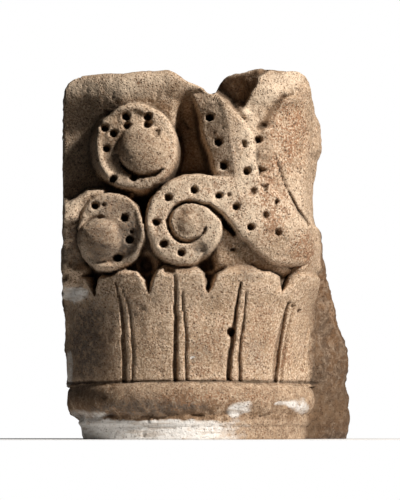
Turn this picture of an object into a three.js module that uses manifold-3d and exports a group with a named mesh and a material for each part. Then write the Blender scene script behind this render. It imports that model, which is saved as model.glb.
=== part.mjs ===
// A fragment of an engaged romanesque capital, carved from one block of porous limestone.
// Millimetres, +Z up. The carved front faces -Y and the rough wall side faces +Y.
// The origin is the middle of the footprint, on the bed that the block stands on.
import * as THREE from "three";
import { mergeVertices } from "three/addons/utils/BufferGeometryUtils.js";
import Module from "manifold-3d";

const wasm = await Module();
wasm.setup();

// The block
const WIDTH = 301;
const DEPTH = 220;
const HEIGHT = 370;
const BELL_X = -17.5; // the bell's axis, left of the middle because the right flank runs on
const BELL_Y = 42;
const SIDE_REACH = 134; // from the bell's axis to the dressed side, at the top
const FRONT_REACH = 146;
const TOP_SQUARENESS = 3.6; // 2 is a round plan, and more is squarer
const SLAB_REACH = 22; // how far the full-width slab comes forward of the bell's axis

// The bell above the astragal
const BELL_RADIUS = 122;
const BELL_SIDE_REACH = 127; // the bell is a little wider than it is round
const TIP_SIDE_REACH = 133; // at the height of the leaf tips
const TIP_FRONT_REACH = 135;
const TIP_SQUARENESS = 2.4;

// The bed and the astragal
const BED_RADIUS = 120;
const BED_CUT = 112; // its left end is broken off this far from the axis
const BED_TOP_Z = 15;
const FILLET_RADIUS = 122;
const ASTRAGAL_RADIUS = 130;
const ASTRAGAL_TUBE = 18.5;
const ASTRAGAL_Z = 40.5;
const ASTRAGAL_CUT = 127; // its left end is cut off this far from the axis

// Depths of the carving, below the dressed surface
const SCROLL_DEPTH = 0;
const RIM_STEP = 5; // from a scroll's rim down to its drilled band
const STEM_DEPTH = 1;
const LEAF_DEPTH = 4;
const LIP_OUT = 6; // how far a leaf's tip comes forward
const SCAR_DEPTH = 9;
const SHELF_DEPTH = 13;
const GROUND_DEPTH = 25;
const ROUGH_DEPTH = 11; // the rough ground left of the lower scroll
const GAP_DEPTH = 24; // the gap between that ground and the scroll
const COVE_X = -98; // the cove's back is as deep as the ground here
const COVE_TURN = 20; // degrees to the left
const RECESS_DEPTH = 46; // between the upper scroll and the ribbons
const POCKET_DEPTH = 60;
const FLARE_DEPTH = 3; // the ground flares out to this depth under the top
const SLAB_DEPTH = 1;
const GROOVE_DEPTH = 12;
const SPIRAL_CUT = 14;
const SCAR_CUT = 6;
const CRACK_CUT = 4;
const LIP_CUT = 9; // a chip in the middle leaf's lip
const HOLE_RADIUS = 3.7; // a seven millimetre trepan, worn
const HOLE_DEPTH = 14;
const HOLE_CLEAR = 12; // how far the drill stands out of the dressed surface
const CLEAR = 5; // how far a cutter stands out of the stone that it cuts
const SLIVER = 0.05; // narrower than this is no form of the stone

// The carving is drawn on a block of this size, and it follows the real block's size.
// Its x runs from the bell's axis and its z from the bed.
const DRAWN_SIDE = 131;
const DRAWN_HEIGHT = 370;
const drawnX = (x) => BELL_X + (x * SIDE_REACH) / DRAWN_SIDE;
const drawnZ = (z) => (z * HEIGHT) / DRAWN_HEIGHT;
const LEAF_FOOT_Z = ASTRAGAL_Z + ASTRAGAL_TUBE - 6;
const TIP_Z = drawnZ(172);
const SHOULDER_Z = drawnZ(215);

// Solids

// A closed three.js geometry as a solid for the booleans
function solid(geometry) {
  const bare = geometry.clone();
  bare.deleteAttribute("normal");
  bare.deleteAttribute("uv");
  const merged = mergeVertices(bare, 1e-3);
  const mesh = new wasm.Mesh({
    numProp: 3,
    vertProperties: merged.attributes.position.array,
    triVerts: new Uint32Array(merged.index.array),
  });
  return new wasm.Manifold(mesh);
}

// A closed solid through rings of points, each ring level and star-shaped about its middle
function loft(rings) {
  const count = rings[0].length;
  const positions = rings.flat().flatMap((p) => [p.x, p.y, p.z]);
  const faces = [];
  for (let level = 0; level + 1 < rings.length; level++) {
    for (let i = 0; i < count; i++) {
      const a = level * count + i;
      const b = level * count + ((i + 1) % count);
      faces.push(a, b, b + count);
      faces.push(a, b + count, a + count);
    }
  }
  for (const [ring, start, up] of [
    [rings[0], 0, false],
    [rings.at(-1), (rings.length - 1) * count, true],
  ]) {
    const middle = new THREE.Vector3();
    ring.forEach((p) => middle.add(p));
    middle.divideScalar(count);
    const centre = positions.length / 3;
    positions.push(middle.x, middle.y, middle.z);
    for (let i = 0; i < count; i++) {
      const a = start + i;
      const b = start + ((i + 1) % count);
      faces.push(...(up ? [centre, a, b] : [centre, b, a]));
    }
  }
  const geometry = new THREE.BufferGeometry();
  geometry.setAttribute("position", new THREE.Float32BufferAttribute(positions, 3));
  geometry.setIndex(faces);
  return geometry;
}

// A box between two corners
function box(low, high) {
  const size = new THREE.Vector3().subVectors(high, low);
  const middle = new THREE.Vector3().addVectors(low, high).multiplyScalar(0.5);
  return solid(
    new THREE.BoxGeometry(size.x, size.y, size.z).translate(middle.x, middle.y, middle.z),
  );
}

// The dressed surface

const mix = (a, b, share) => a + (b - a) * share;
const ease = (low, high, value) => THREE.MathUtils.smoothstep(value, low, high);

// The bell's reach to the side and to the front at a height, and how square its plan is
function planAt(z) {
  const flare = Math.max(0, (z - ASTRAGAL_Z) / (TIP_Z - ASTRAGAL_Z));
  const leaf = Math.min(1, flare) ** 1.6;
  const corner = ease(TIP_Z - 12, SHOULDER_Z, z);
  return {
    side: mix(mix(BELL_SIDE_REACH, TIP_SIDE_REACH, leaf), SIDE_REACH, corner),
    front: mix(mix(BELL_RADIUS, TIP_FRONT_REACH, leaf), FRONT_REACH, corner),
    power: mix(mix(2, TIP_SQUARENESS, leaf), TOP_SQUARENESS, corner),
  };
}

// The distance from the bell's axis to the dressed surface, at an angle from the front
function reachAt(angle, z) {
  const { side, front, power } = planAt(z);
  const across = (Math.abs(Math.sin(angle)) / side) ** power;
  const along = (Math.abs(Math.cos(angle)) / front) ** power;
  return (across + along) ** (-1 / power);
}

// A point on the surface that lies a depth below the dressed one
function surfaceAt(angle, z, depth) {
  const reach = reachAt(angle, z) - depth;
  return new THREE.Vector3(
    BELL_X + reach * Math.sin(angle),
    BELL_Y - reach * Math.cos(angle),
    z,
  );
}

// The angle from the front at which that surface is seen at x
function angleAt(x, z, depth) {
  let low = -Math.PI / 2;
  let high = Math.PI / 2;
  for (let step = 0; step < 30; step++) {
    const middle = (low + high) / 2;
    if (surfaceAt(middle, z, depth).x < x) low = middle;
    else high = middle;
  }
  return (low + high) / 2;
}

const FRONT_STEPS = 34;

// The block up to a depth below its dressed surface, which may change with the height
function levelGeometry(depthAt, heights) {
  const rings = heights.map((z) => {
    const ring = [];
    for (let i = 0; i <= FRONT_STEPS; i++) {
      const angle = Math.PI * (i / FRONT_STEPS - 0.5);
      ring.push(surfaceAt(angle, z, depthAt(z)));
    }
    const left = ring[0];
    const right = ring.at(-1);
    ring.push(new THREE.Vector3(right.x, DEPTH / 2, z));
    ring.push(new THREE.Vector3(left.x, DEPTH / 2, z));
    return ring;
  });
  return loft(rings);
}

const SCROLL_HEIGHTS = [120, 150, 164, 176, 190, 204, 218, 372].map(drawnZ);
const LEAF_HEIGHTS = [LEAF_FOOT_Z, ...[85, 115, 130, 140, 150, 158, 164, 170, 178].map(drawnZ)];

// The part of the block below a level surface
const level = (depth, heights = SCROLL_HEIGHTS) =>
  solid(levelGeometry(() => depth, heights));

// That level turned about a vertical line on its surface, so that it faces left or right
function leaning(depth, x, z, degrees) {
  const pivot = surfaceAt(angleAt(x, z, depth), z, depth);
  const geometry = levelGeometry(() => depth, SCROLL_HEIGHTS);
  geometry.translate(-pivot.x, -pivot.y, 0);
  geometry.rotateZ(THREE.MathUtils.degToRad(degrees));
  geometry.translate(pivot.x, pivot.y, 0);
  return solid(geometry);
}

// Outlines on the front, as arrays of Vector2 in x and z

const drawn = (points) => points.map(([x, z]) => new THREE.Vector2(drawnX(x), drawnZ(z)));

// A closed smooth outline through a few points
function smooth(points, count) {
  const through = points.map(([x, z]) => new THREE.Vector3(drawnX(x), drawnZ(z), 0));
  const curve = new THREE.CatmullRomCurve3(through, true, "centripetal");
  return curve.getSpacedPoints(count).slice(0, count).map((p) => new THREE.Vector2(p.x, p.y));
}

function ellipse(x, z, across, tall, count = 24) {
  const points = [];
  for (let i = 0; i < count; i++) {
    const turn = (2 * Math.PI * i) / count;
    points.push([x + across * Math.cos(turn), z + tall * Math.sin(turn)]);
  }
  return drawn(points);
}

// A channel's outline: a line of [x, z, width] with a pointed end at each side
function channel(line) {
  const left = [];
  const right = [];
  line.forEach(([x, z, width], i) => {
    const [ax, az] = line[Math.max(0, i - 1)];
    const [bx, bz] = line[Math.min(line.length - 1, i + 1)];
    const length = Math.hypot(bx - ax, bz - az);
    const nx = (-(bz - az) / length) * (width / 2);
    const nz = ((bx - ax) / length) * (width / 2);
    left.push([x + nx, z + nz]);
    right.unshift([x - nx, z - nz]);
  });
  return drawn([...left, ...right]);
}

// The line of an arc about a point, from one angle to another, as the radius and width change
function arcLine(arc, count = 14) {
  const line = [];
  for (let i = 0; i <= count; i++) {
    const share = i / count;
    const turn = THREE.MathUtils.degToRad(mix(arc.from, arc.to, share));
    const radius = mix(arc.startRadius, arc.endRadius, share);
    const taper = Math.min(1, 4 * share + 0.2, 4 * (1 - share) + 0.2);
    line.push([
      arc.x + radius * Math.cos(turn),
      arc.z + radius * Math.sin(turn),
      arc.width * taper,
    ]);
  }
  return line;
}

// An outline carried straight back through the block
function prism(outline) {
  const shape = new THREE.Shape(outline);
  const geometry = new THREE.ExtrudeGeometry(shape, { depth: 2 * DEPTH, bevelEnabled: false });
  geometry.rotateX(Math.PI / 2);
  return solid(geometry.translate(0, DEPTH, 0));
}

// The same, but only in front of the bell's axis
const frontHalf = box(
  new THREE.Vector3(-WIDTH, -DEPTH, -10),
  new THREE.Vector3(WIDTH, BELL_Y, HEIGHT + 10),
);
const frontPrism = (outline) => prism(outline).intersect(frontHalf);

let body;
const raise = (outline, below) => {
  body = body.add(frontPrism(outline).intersect(below));
};
const sink = (outline, below) => {
  body = body.subtract(frontPrism(outline).subtract(below));
};

// Carving the block

const groundDepthAt = (z) => mix(GROUND_DEPTH, FLARE_DEPTH, ease(drawnZ(306), drawnZ(352), z));

// The ground: the bell behind the leaves and scrolls, which flares out again at the top.
// Behind it the block keeps its full width, up to the wall side.
function carveGround() {
  const heights = [90, 130, 160, 180, 200, 218, 300, 316, 328, 338, 348, 360, 371].map(drawnZ);
  const slab = box(
    new THREE.Vector3(-WIDTH, BELL_Y - SLAB_REACH, LEAF_FOOT_Z),
    new THREE.Vector3(WIDTH, DEPTH / 2, HEIGHT + 1),
  );
  const slabHeights = [80, 110, 150, 164, 176, 190, 204, 218, 371].map(drawnZ);
  const fullWidth = level(SLAB_DEPTH, [LEAF_FOOT_Z, ...slabHeights]);
  const ground = solid(levelGeometry(groundDepthAt, [LEAF_FOOT_Z, ...heights]));
  body = ground.add(fullWidth.intersect(slab));
}

// The cove between the upper scroll and the left side has a flat back that faces a little left
function carveCove() {
  const rings = [226, 306, 318, 328, 338, 348, 358, 371].map((drawnHeight) => {
    const z = drawnZ(drawnHeight);
    const middle = surfaceAt(angleAt(drawnX(COVE_X), z, 0), z, 0);
    const left = -WIDTH / 2 - CLEAR;
    const right = drawnX(UPPER.x - UPPER.across / 2);
    const slope = Math.tan(THREE.MathUtils.degToRad(COVE_TURN));
    const backAt = (x) => middle.y + groundDepthAt(z) + (middle.x - x) * slope;
    return [
      new THREE.Vector3(left, BELL_Y, z),
      new THREE.Vector3(left, backAt(left), z),
      new THREE.Vector3(right, backAt(right), z),
      new THREE.Vector3(right, BELL_Y, z),
    ];
  });
  body = body.add(solid(loft(rings)));
}

// The bed, the fillet on it and the astragal, half round with the wall side behind
function carveFoot() {
  const back = box(
    new THREE.Vector3(BELL_X - BED_CUT, BELL_Y - 2, 0),
    new THREE.Vector3(BELL_X + BED_RADIUS, DEPTH / 2, LEAF_FOOT_Z + 2),
  );
  const steps = [
    [BED_RADIUS, 0],
    [BED_RADIUS, BED_TOP_Z],
    [FILLET_RADIUS, BED_TOP_Z + 1.5],
    [FILLET_RADIUS, ASTRAGAL_Z - ASTRAGAL_TUBE + 4],
    [FILLET_RADIUS, LEAF_FOOT_Z + 2],
  ];
  const profile = [[0, 0], ...steps, [0, LEAF_FOOT_Z + 2]];
  const drum = new THREE.LatheGeometry(profile.map(([r, z]) => new THREE.Vector2(r, z)), 64);
  const roll = new THREE.TorusGeometry(ASTRAGAL_RADIUS - ASTRAGAL_TUBE, ASTRAGAL_TUBE, 14, 64);
  roll.translate(BELL_X, BELL_Y, ASTRAGAL_Z);
  drum.rotateX(Math.PI / 2);
  drum.translate(BELL_X, BELL_Y, 0);
  const cutBed = box(
    new THREE.Vector3(BELL_X - BED_CUT, -DEPTH, -10),
    new THREE.Vector3(WIDTH, DEPTH, LEAF_FOOT_Z + 20),
  );
  const rounds = solid(drum).intersect(cutBed).add(solid(roll)).intersect(frontHalf);
  const corner = new THREE.SphereGeometry(ASTRAGAL_TUBE, 14, 10);
  corner.translate(BELL_X + ASTRAGAL_RADIUS - ASTRAGAL_TUBE, BELL_Y, ASTRAGAL_Z);
  const cutEnd = box(
    new THREE.Vector3(BELL_X - ASTRAGAL_CUT, -DEPTH, -10),
    new THREE.Vector3(WIDTH, DEPTH, LEAF_FOOT_Z + 20),
  );
  body = body.add(back).add(rounds.add(solid(corner)).intersect(cutEnd));
}

// The leaves' tops from left to right, each one worn to its own arch, with a notch between two
const LEAF_TOPS = [
  [-160, 157], [-122, 157], [-112, 161], [-107, 166], [-102, 163], [-98, 153], [-94, 145],
  [-91, 158], [-85, 166], [-76, 169.5], [-62, 170.5], [-52, 168], [-46, 159], [-43, 150],
  [-40, 146], [-37, 157], [-32, 169], [-25, 174], [-10, 173.5], [5, 173], [12, 167],
  [15, 157], [17, 147], [21, 152], [26, 163], [36, 171], [48, 174], [61, 174], [70, 168],
  [78, 167.5], [85, 163], [88, 154], [89, 146], [94, 151], [101, 159], [110, 168], [116, 175],
  [130, 178], [160, 178],
];

function leafOutline() {
  const foot = drawnLeafFoot();
  return drawn([[-160, foot], ...LEAF_TOPS, [160, foot]].reverse());
}
const drawnLeafFoot = () => (LEAF_FOOT_Z * DRAWN_HEIGHT) / HEIGHT;

// The leaves lean forward near their tips and roll over in a lip
function leafDepthAt(z) {
  const out = ease(drawnZ(128), drawnZ(158), z);
  const over = ease(drawnZ(163), drawnZ(176), z);
  return LEAF_DEPTH - LIP_OUT * out + 2 * LIP_OUT * over;
}

function carveLeaves() {
  raise(leafOutline(), solid(levelGeometry(leafDepthAt, LEAF_HEIGHTS)));
}

// A midrib stands between two grooves that fan out upwards
const RIBS = [
  { left: -65, right: -56, topLeft: -73, topRight: -67, top: 157, bend: 4, cut: 8 },
  { left: -14.5, right: -3.5, topLeft: -14, topRight: -8, top: 162, bend: 1.5, cut: 8 },
  { left: 38.5, right: 48, topLeft: 50, topRight: 57, top: 156, bend: 2, cut: 9 },
  { left: 85.5, right: 92, topLeft: 99, topRight: 104, top: 138, bend: 2, cut: 6 },
  { left: 115, right: 119, topLeft: 121, topRight: 124, top: 114, bend: 2, cut: 4 },
];
const RIB_GROOVE_WIDTH = 5.4;
const RIGHT_GROOVE_SHARE = 0.55; // the groove on the lit side is shallower

// A V groove down the leaf, from its top to the astragal
function ribGroove(foot, head, top, bend, width, cut) {
  const count = 7;
  const rings = [];
  for (let i = 0; i <= count; i++) {
    const share = i / count;
    const z = mix(LEAF_FOOT_Z, drawnZ(top), share);
    const x = drawnX(mix(foot, head, share ** bend));
    const fade = i === count ? 0.25 : 1;
    const angle = angleAt(x, z, LEAF_DEPTH);
    const flare = (cut * fade + CLEAR) / (cut * fade);
    const turn = ((width / 2) * fade * flare) / BELL_RADIUS;
    rings.push([
      surfaceAt(angle, z, leafDepthAt(z) + cut * fade),
      surfaceAt(angle - turn, z, leafDepthAt(z) - CLEAR),
      surfaceAt(angle + turn, z, leafDepthAt(z) - CLEAR),
    ]);
  }
  return solid(loft(rings));
}

function carveRibs() {
  for (const rib of RIBS) {
    const { left, right, topLeft, topRight, top, bend, cut } = rib;
    const width = Math.min(RIB_GROOVE_WIDTH, cut);
    const lit = width * RIGHT_GROOVE_SHARE;
    body = body.subtract(ribGroove(left, topLeft, top, bend, width, cut));
    body = body.subtract(ribGroove(right, topRight, top - 3, bend, lit, cut * RIGHT_GROOVE_SHARE));
  }
}

// The scrolls, their round bosses and the band of each between its rim and its boss.
// The lower scroll's face is turned to the front.
const UPPER = { x: -53.5, z: 291.5, across: 39.5, tall: 43.5, depth: 1 };
const UPPER_BOSS = { x: -46, z: 289, radius: 26, out: 12.3 };
const LOWER = { x: -77.5, z: 207, across: 33, tall: 39, depth: 0 };
const LOWER_BOSS = { x: -88.5, z: 199, radius: 22.5, out: 12 };
const LOWER_LEAN = 15;
const LOWER_PIVOT_X = -62;
const WHORL = { x: -6, z: 215, across: 36, tall: 43, depth: SCROLL_DEPTH };
const WHORL_BOSS = { x: -2, z: 215, radius: 19, out: 12 };
const WHORL_BOSS_SEAT = 8; // depth of the foot of the whorl's boss, in its channel
const RIM = 5.5;

function boss(at, depth, forward = 0) {
  const x = drawnX(at.x);
  const z = drawnZ(at.z);
  const angle = angleAt(x, z, depth);
  const seat = surfaceAt(angle, z, depth);
  const dome = new THREE.SphereGeometry(1, 24, 12);
  dome.rotateX(Math.PI / 2);
  dome.scale(at.radius, at.out, at.radius);
  dome.rotateZ(angle * 0.5);
  dome.translate(seat.x, seat.y - forward, seat.z);
  body = body.add(solid(dome));
}

function scrollDisc(scroll, below = level(scroll.depth)) {
  raise(ellipse(scroll.x, scroll.z, scroll.across, scroll.tall, 28), below);
}

// The drilled band lies a step below the rim, and its middle is shifted from the scroll's
function bandOutline(scroll, right, up) {
  return ellipse(
    scroll.x + right,
    scroll.z + up,
    scroll.across - RIM / 2,
    scroll.tall - RIM / 2,
  );
}

function carveUpperScroll() {
  scrollDisc(UPPER);
  sink(bandOutline(UPPER, -1.5, 0), level(UPPER.depth + RIM_STEP));
  boss(UPPER_BOSS, UPPER.depth + RIM_STEP);
  const under = {
    x: UPPER_BOSS.x,
    z: UPPER_BOSS.z,
    from: 200,
    to: 312,
    startRadius: UPPER_BOSS.radius,
    endRadius: UPPER_BOSS.radius,
    width: 4.5,
  };
  sink(channel(arcLine(under)), level(GROOVE_DEPTH));
}

// A stem comes in from the left, where a volute was cut away. It turns to the front there,
// and the rough ground below it turns less.
const LEFT_STEM_X = -88;
const LEFT_STEM_LEAN = 34;
const ROUGH_LEAN = 12;
const LOWER_BOSS_FORWARD = 7; // its seat's distance in front of the unturned face

function carveLowerScroll() {
  const stem = smooth(
    [
      [-136, 214], [-136, 232], [-115, 240], [-98, 246], [-84, 246], [-80, 235], [-92, 228],
      [-112, 221],
    ],
    24,
  );
  const rough = drawn([[-136, 158], [-136, 218], [-100, 224], [-92, 180], [-108, 168]]);
  const gap = ellipse(LOWER.x - 5, LOWER.z - 8, LOWER.across, LOWER.tall - 5);
  const turned = (depth, lean) => leaning(depth, drawnX(LEFT_STEM_X), drawnZ(LOWER.z), lean);
  const face = (depth) => leaning(depth, drawnX(LOWER_PIVOT_X), drawnZ(LOWER.z), LOWER_LEAN);
  raise(rough, turned(ROUGH_DEPTH, ROUGH_LEAN));
  sink(gap, level(GAP_DEPTH));
  raise(stem, turned(STEM_DEPTH, LEFT_STEM_LEAN));
  scrollDisc(LOWER, face(LOWER.depth));
  sink(bandOutline(LOWER, -3, 4), face(LOWER.depth + RIM_STEP));
  boss(LOWER_BOSS, LOWER.depth + RIM_STEP, LOWER_BOSS_FORWARD);
}

// The middle whorl, with one spiral channel that runs in from the stem's lower edge
const SPIRAL = {
  x: WHORL_BOSS.x,
  z: WHORL_BOSS.z,
  from: 62,
  to: 338,
  startRadius: 22.5,
  endRadius: 17.5,
  width: 5,
};
const STEM_CHANNEL = [[50, 196, 9], [42, 205, 9], [36, 213.5, 8], [28, 223.5, 7], [18, 232, 6]];

function carveMiddleScroll() {
  scrollDisc(WHORL);
  const spiral = arcLine(SPIRAL, 20);
  spiral[0][2] = SPIRAL.width;
  sink(channel([...STEM_CHANNEL, ...spiral]), level(SPIRAL_CUT));
  boss(WHORL_BOSS, WHORL_BOSS_SEAT);
}

// The stem that feeds the whorl, the shelf below it and the corner where a volute broke away
function carveStem() {
  const stem = smooth(
    [
      [-25, 251], [-10, 260], [8, 264], [26, 262], [46, 262], [66, 262], [84, 250], [106, 226],
      [124, 205], [126, 182], [104, 175], [82, 177], [66, 187], [49, 203], [35, 219], [18, 235],
      [2, 238], [-16, 234],
    ],
    44,
  );
  const shelf = drawn([[20, 214], [52, 206], [84, 184], [100, 170], [60, 168], [28, 172]]);
  const corner = drawn([
    [22, 330], [30, 372], [134, 372], [134, 168], [104, 176], [66, 200], [50, 250], [52, 290],
    [40, 318],
  ]);
  raise(shelf, level(SHELF_DEPTH));
  raise(corner, level(SCAR_DEPTH));
  raise(stem, level(STEM_DEPTH));
}

// Two ribbons come down from the top: the left one leans away from the light
const RIDGE_X = 40;
const RIDGE_Z = 280;
const RIBBON_LEAN = -24;

function carveRibbons() {
  const left = drawn([
    [-6, 354], [10, 323], [13, 303], [20, 280], [25, 258], [34, 240], [52, 240], [47, 262],
    [43, 290], [36, 318], [24, 348],
  ]);
  const right = smooth(
    [
      [24, 346], [38, 334], [52, 318], [63, 302], [65, 280], [67, 252], [62, 232], [46, 236],
      [45, 262], [42, 290], [34, 318],
    ],
    28,
  );
  raise(left, leaning(STEM_DEPTH, drawnX(RIDGE_X), drawnZ(RIDGE_Z), RIBBON_LEAN));
  raise(right, level(STEM_DEPTH));
}

// The broken corner: a face that turns left beside the notch, and the volute's arched scar
const BREAK_LEAN = -52;

function carveBreaks() {
  const face = drawn([
    [20, 340], [44, 326], [53, 328], [60, 334], [63, 348], [70, 360], [88, 376], [20, 376],
  ]);
  sink(face, leaning(SCAR_DEPTH, drawnX(64), drawnZ(345), BREAK_LEAN));
  const scar = channel([
    [68, 309, 3], [78, 317, 8], [82, 326, 7], [84, 335, 6], [90, 342, 5], [98, 345, 3],
  ]);
  sink(scar, level(SCAR_DEPTH + SCAR_CUT));
  const crack = channel([
    [82, 286, 2], [90, 266, 3], [97, 250, 3], [106, 231, 3.5], [116, 222, 3.5], [126, 216, 3],
  ]);
  sink(crack, level(SCAR_DEPTH + CRACK_CUT));
}

// Deep pockets between the scrolls and behind the leaf tips
function carvePockets() {
  const between = smooth(
    [[-52, 243], [-36, 252], [-27, 262], [-24, 246], [-38, 232], [-42, 222], [-48, 232]],
    16,
  );
  const leafGap = drawn([[88, 147], [86, 156], [94, 164], [112, 176], [108, 162], [100, 154]]);
  sink(between, level(POCKET_DEPTH));
  sink(leafGap, level(GROUND_DEPTH));
  sink(ellipse(-18, 166, 8, 4.5, 12), level(LEAF_DEPTH + LIP_CUT));
}

// The recess is cut before the forms on its two sides are left standing
function carveRecess() {
  const recess = drawn([[-20, 254], [-16, 322], [-10, 338], [2, 341], [14, 326], [30, 262]]);
  sink(recess, level(RECESS_DEPTH));
}

// Drilled holes, as [x, z] of each scroll, ribbon and stem
const HOLES = [
  [-63, 322], [-62, 313], [-41, 322], [-42, 314], [-83, 311], [-74, 305], [-82, 290],
  [-33, 305], [-75, 260], [-55, 260],
  [-92, 232], [-63.5, 220.5], [-59, 199], [-71, 181.5],
  [-21, 241], [4, 248], [-33, 215], [-26, 194.5], [-8, 185], [27.5, 242.5], [44, 232], [59, 211],
  [20.5, 321], [28.5, 297], [32.5, 272.5], [52, 293.5], [55.5, 267], [61, 246], [68, 299],
  [73, 223], [86, 206],
  [39.5, 107],
];

function drillHoles() {
  for (const [x, z] of HOLES) {
    const height = drawnZ(z);
    const angle = angleAt(drawnX(x), height, 0);
    const mouth = surfaceAt(angle, height, -HOLE_CLEAR);
    const length = HOLE_DEPTH + HOLE_CLEAR;
    const drill = new THREE.CylinderGeometry(HOLE_RADIUS * 0.8, HOLE_RADIUS, length, 8);
    drill.translate(0, length / 2, 0);
    drill.rotateZ(angle * 0.6);
    drill.translate(mouth.x, mouth.y, mouth.z);
    body = body.subtract(solid(drill));
  }
}

// The right flank, rough-hewn and wider towards the bed: its width at each height
const FLANK = [
  { z: 0, out: 0.985, front: 92 }, { z: 8, out: 1, front: 88 }, { z: 38, out: 1, front: 84 },
  { z: 63, out: 0.985, front: 80 }, { z: 78, out: 1, front: 84 }, { z: 93, out: 0.985, front: 82 },
  { z: 113, out: 0.94, front: 78 }, { z: 150, out: 0.885, front: 70 }, { z: 173, out: 0.84, front: 64 },
  { z: 210, out: 0.78, front: 58 }, { z: 240, out: 0.74, front: 50 },
];
const FLANK_ROOT_Y = 22;

function hewFlank() {
  const rings = FLANK.map((row, i) => {
    const z = drawnZ(row.z);
    const out = (row.out * WIDTH) / 2;
    const root = BELL_X + BELL_RADIUS - 18;
    const hew = 2.5 * Math.sin(5 * i + 1);
    return [
      new THREE.Vector3(root - 30, DEPTH / 2, z),
      new THREE.Vector3(root - 30, FLANK_ROOT_Y, z),
      new THREE.Vector3(root + 8, FLANK_ROOT_Y + hew, z),
      new THREE.Vector3(mix(root + 8, out, 0.55), mix(FLANK_ROOT_Y, row.front, 0.42) + hew, z),
      new THREE.Vector3(out - 4, row.front - 16, z),
      new THREE.Vector3(out, row.front, z),
      new THREE.Vector3(out - 5 - hew, DEPTH / 2, z),
    ];
  });
  body = body.add(solid(loft(rings)));
}

// The broken skyline, with the notch between the front and the corner block
const SKYLINE = [
  [-150, -5], [-150, 318], [-133, 333], [-130, 350], [-122, 361], [-108, 365], [-80, 366.5],
  [-65, 365.5], [-51, 368], [-24, 369], [-12, 364], [0, 356], [10, 351.5], [24, 343], [26, 352],
  [34, 363], [50, 367], [68, 369], [98, 370], [112, 369], [119, 358], [123, 338], [131, 313],
  [131, 295], [125, 288], [123, 266],
  [122, 250], [126, 225], [140, 215], [200, 200], [200, -5],
];

function breakSkyline() {
  const outline = drawn(SKYLINE).reverse();
  body = body.intersect(prism(outline));
}

// The left side was cut flat. In front of the axis it draws in towards the front.
const LEFT_DRAW = 8;

function cutLeftSide() {
  const outer = -WIDTH / 2;
  const plan = [
    [outer, BELL_Y], [outer + LEFT_DRAW, -DEPTH / 2], [outer + LEFT_DRAW, -DEPTH],
    [outer - WIDTH, -DEPTH], [outer - WIDTH, BELL_Y],
  ];
  const shape = new THREE.Shape(plan.map(([x, y]) => new THREE.Vector2(x, y)).reverse());
  const waste = new THREE.ExtrudeGeometry(shape, { depth: 2 * HEIGHT, bevelEnabled: false });
  body = body.subtract(solid(waste.translate(0, 0, -HEIGHT / 2)));
}

// Trimming: the left side, the wall side and the bed are flat
function trimBlock() {
  const stock = box(
    new THREE.Vector3(-WIDTH / 2, -DEPTH / 2, 0),
    new THREE.Vector3(WIDTH / 2, DEPTH / 2, HEIGHT),
  );
  body = body.intersect(stock);
}

// Slivers that the cuts leave are merged away, and loose crumbs are dropped
function sweptClean(stone) {
  const pieces = stone.asOriginal().simplify(SLIVER).decompose();
  return pieces.reduce((most, piece) => (piece.volume() > most.volume() ? piece : most));
}

carveGround();
carveCove();
carveRecess();
carveLeaves();
carveRibs();
carveFoot();
carveUpperScroll();
carveStem();
carveMiddleScroll();
carveLowerScroll();
carveRibbons();
carveBreaks();
carvePockets();
drillHoles();
hewFlank();
breakSkyline();
cutLeftSide();
trimBlock();
body = sweptClean(body);

// The finished block as a mesh
function meshGeometry(finished) {
  const made = finished.getMesh();
  const count = made.vertProperties.length / made.numProp;
  const positions = new Float32Array(count * 3);
  for (let i = 0; i < count; i++) {
    const start = i * made.numProp;
    positions.set(made.vertProperties.subarray(start, start + 3), i * 3);
  }
  const geometry = new THREE.BufferGeometry();
  geometry.setAttribute("position", new THREE.BufferAttribute(positions, 3));
  geometry.setIndex(new THREE.BufferAttribute(made.triVerts, 1));
  geometry.computeVertexNormals();
  return geometry;
}

const limestone = new THREE.MeshStandardMaterial({ color: 0xc2a283, roughness: 0.9, metalness: 0 });
const capital = new THREE.Mesh(meshGeometry(body), limestone);
capital.name = "capital";

const group = new THREE.Group();
group.add(capital);

export default group;
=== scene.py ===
"""A fragment of a romanesque capital in porous limestone, dressed around its CAD solid.

The carved front faces -Y, the rough wall side faces +Y and the bed is at z = 0. Sizes are in
millimetres, as the stone was set out, and become metres where the mesh is made.
"""

import logging
import math
from dataclasses import dataclass, field
from enum import Enum
from typing import Any, Sequence

import bpy
import numpy as np
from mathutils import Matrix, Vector


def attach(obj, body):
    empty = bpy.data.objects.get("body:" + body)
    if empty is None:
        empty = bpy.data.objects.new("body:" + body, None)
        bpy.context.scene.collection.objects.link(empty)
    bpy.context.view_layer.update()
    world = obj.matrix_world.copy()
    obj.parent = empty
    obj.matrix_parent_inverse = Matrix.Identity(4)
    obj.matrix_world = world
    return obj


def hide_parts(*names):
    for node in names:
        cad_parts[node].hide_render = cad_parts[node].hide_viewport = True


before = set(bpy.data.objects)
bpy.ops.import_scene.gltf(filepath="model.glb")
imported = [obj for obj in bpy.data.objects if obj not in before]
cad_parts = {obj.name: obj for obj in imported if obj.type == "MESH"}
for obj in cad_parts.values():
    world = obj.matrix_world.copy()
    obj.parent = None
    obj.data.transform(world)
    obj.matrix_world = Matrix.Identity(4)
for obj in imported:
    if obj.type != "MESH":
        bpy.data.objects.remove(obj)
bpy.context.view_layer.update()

MM = 0.001
TINY = 1e-3  # keeps divisors away from zero, and is the slack where two spans meet
Array = np.ndarray
Level = float | Array
log = logging.getLogger("capital")


# Small sums on arrays


def mix(low: Level, high: Level, share: Level) -> Level:
    """The value a share of the way from low to high."""
    return low + (high - low) * share


def ease(low: float, high: float, value: Level) -> Level:
    """A smooth step from 0 at low to 1 at high; low may be the larger."""
    share = np.clip((value - low) / (high - low), 0.0, 1.0)
    return share * share * (3.0 - 2.0 * share)


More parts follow.
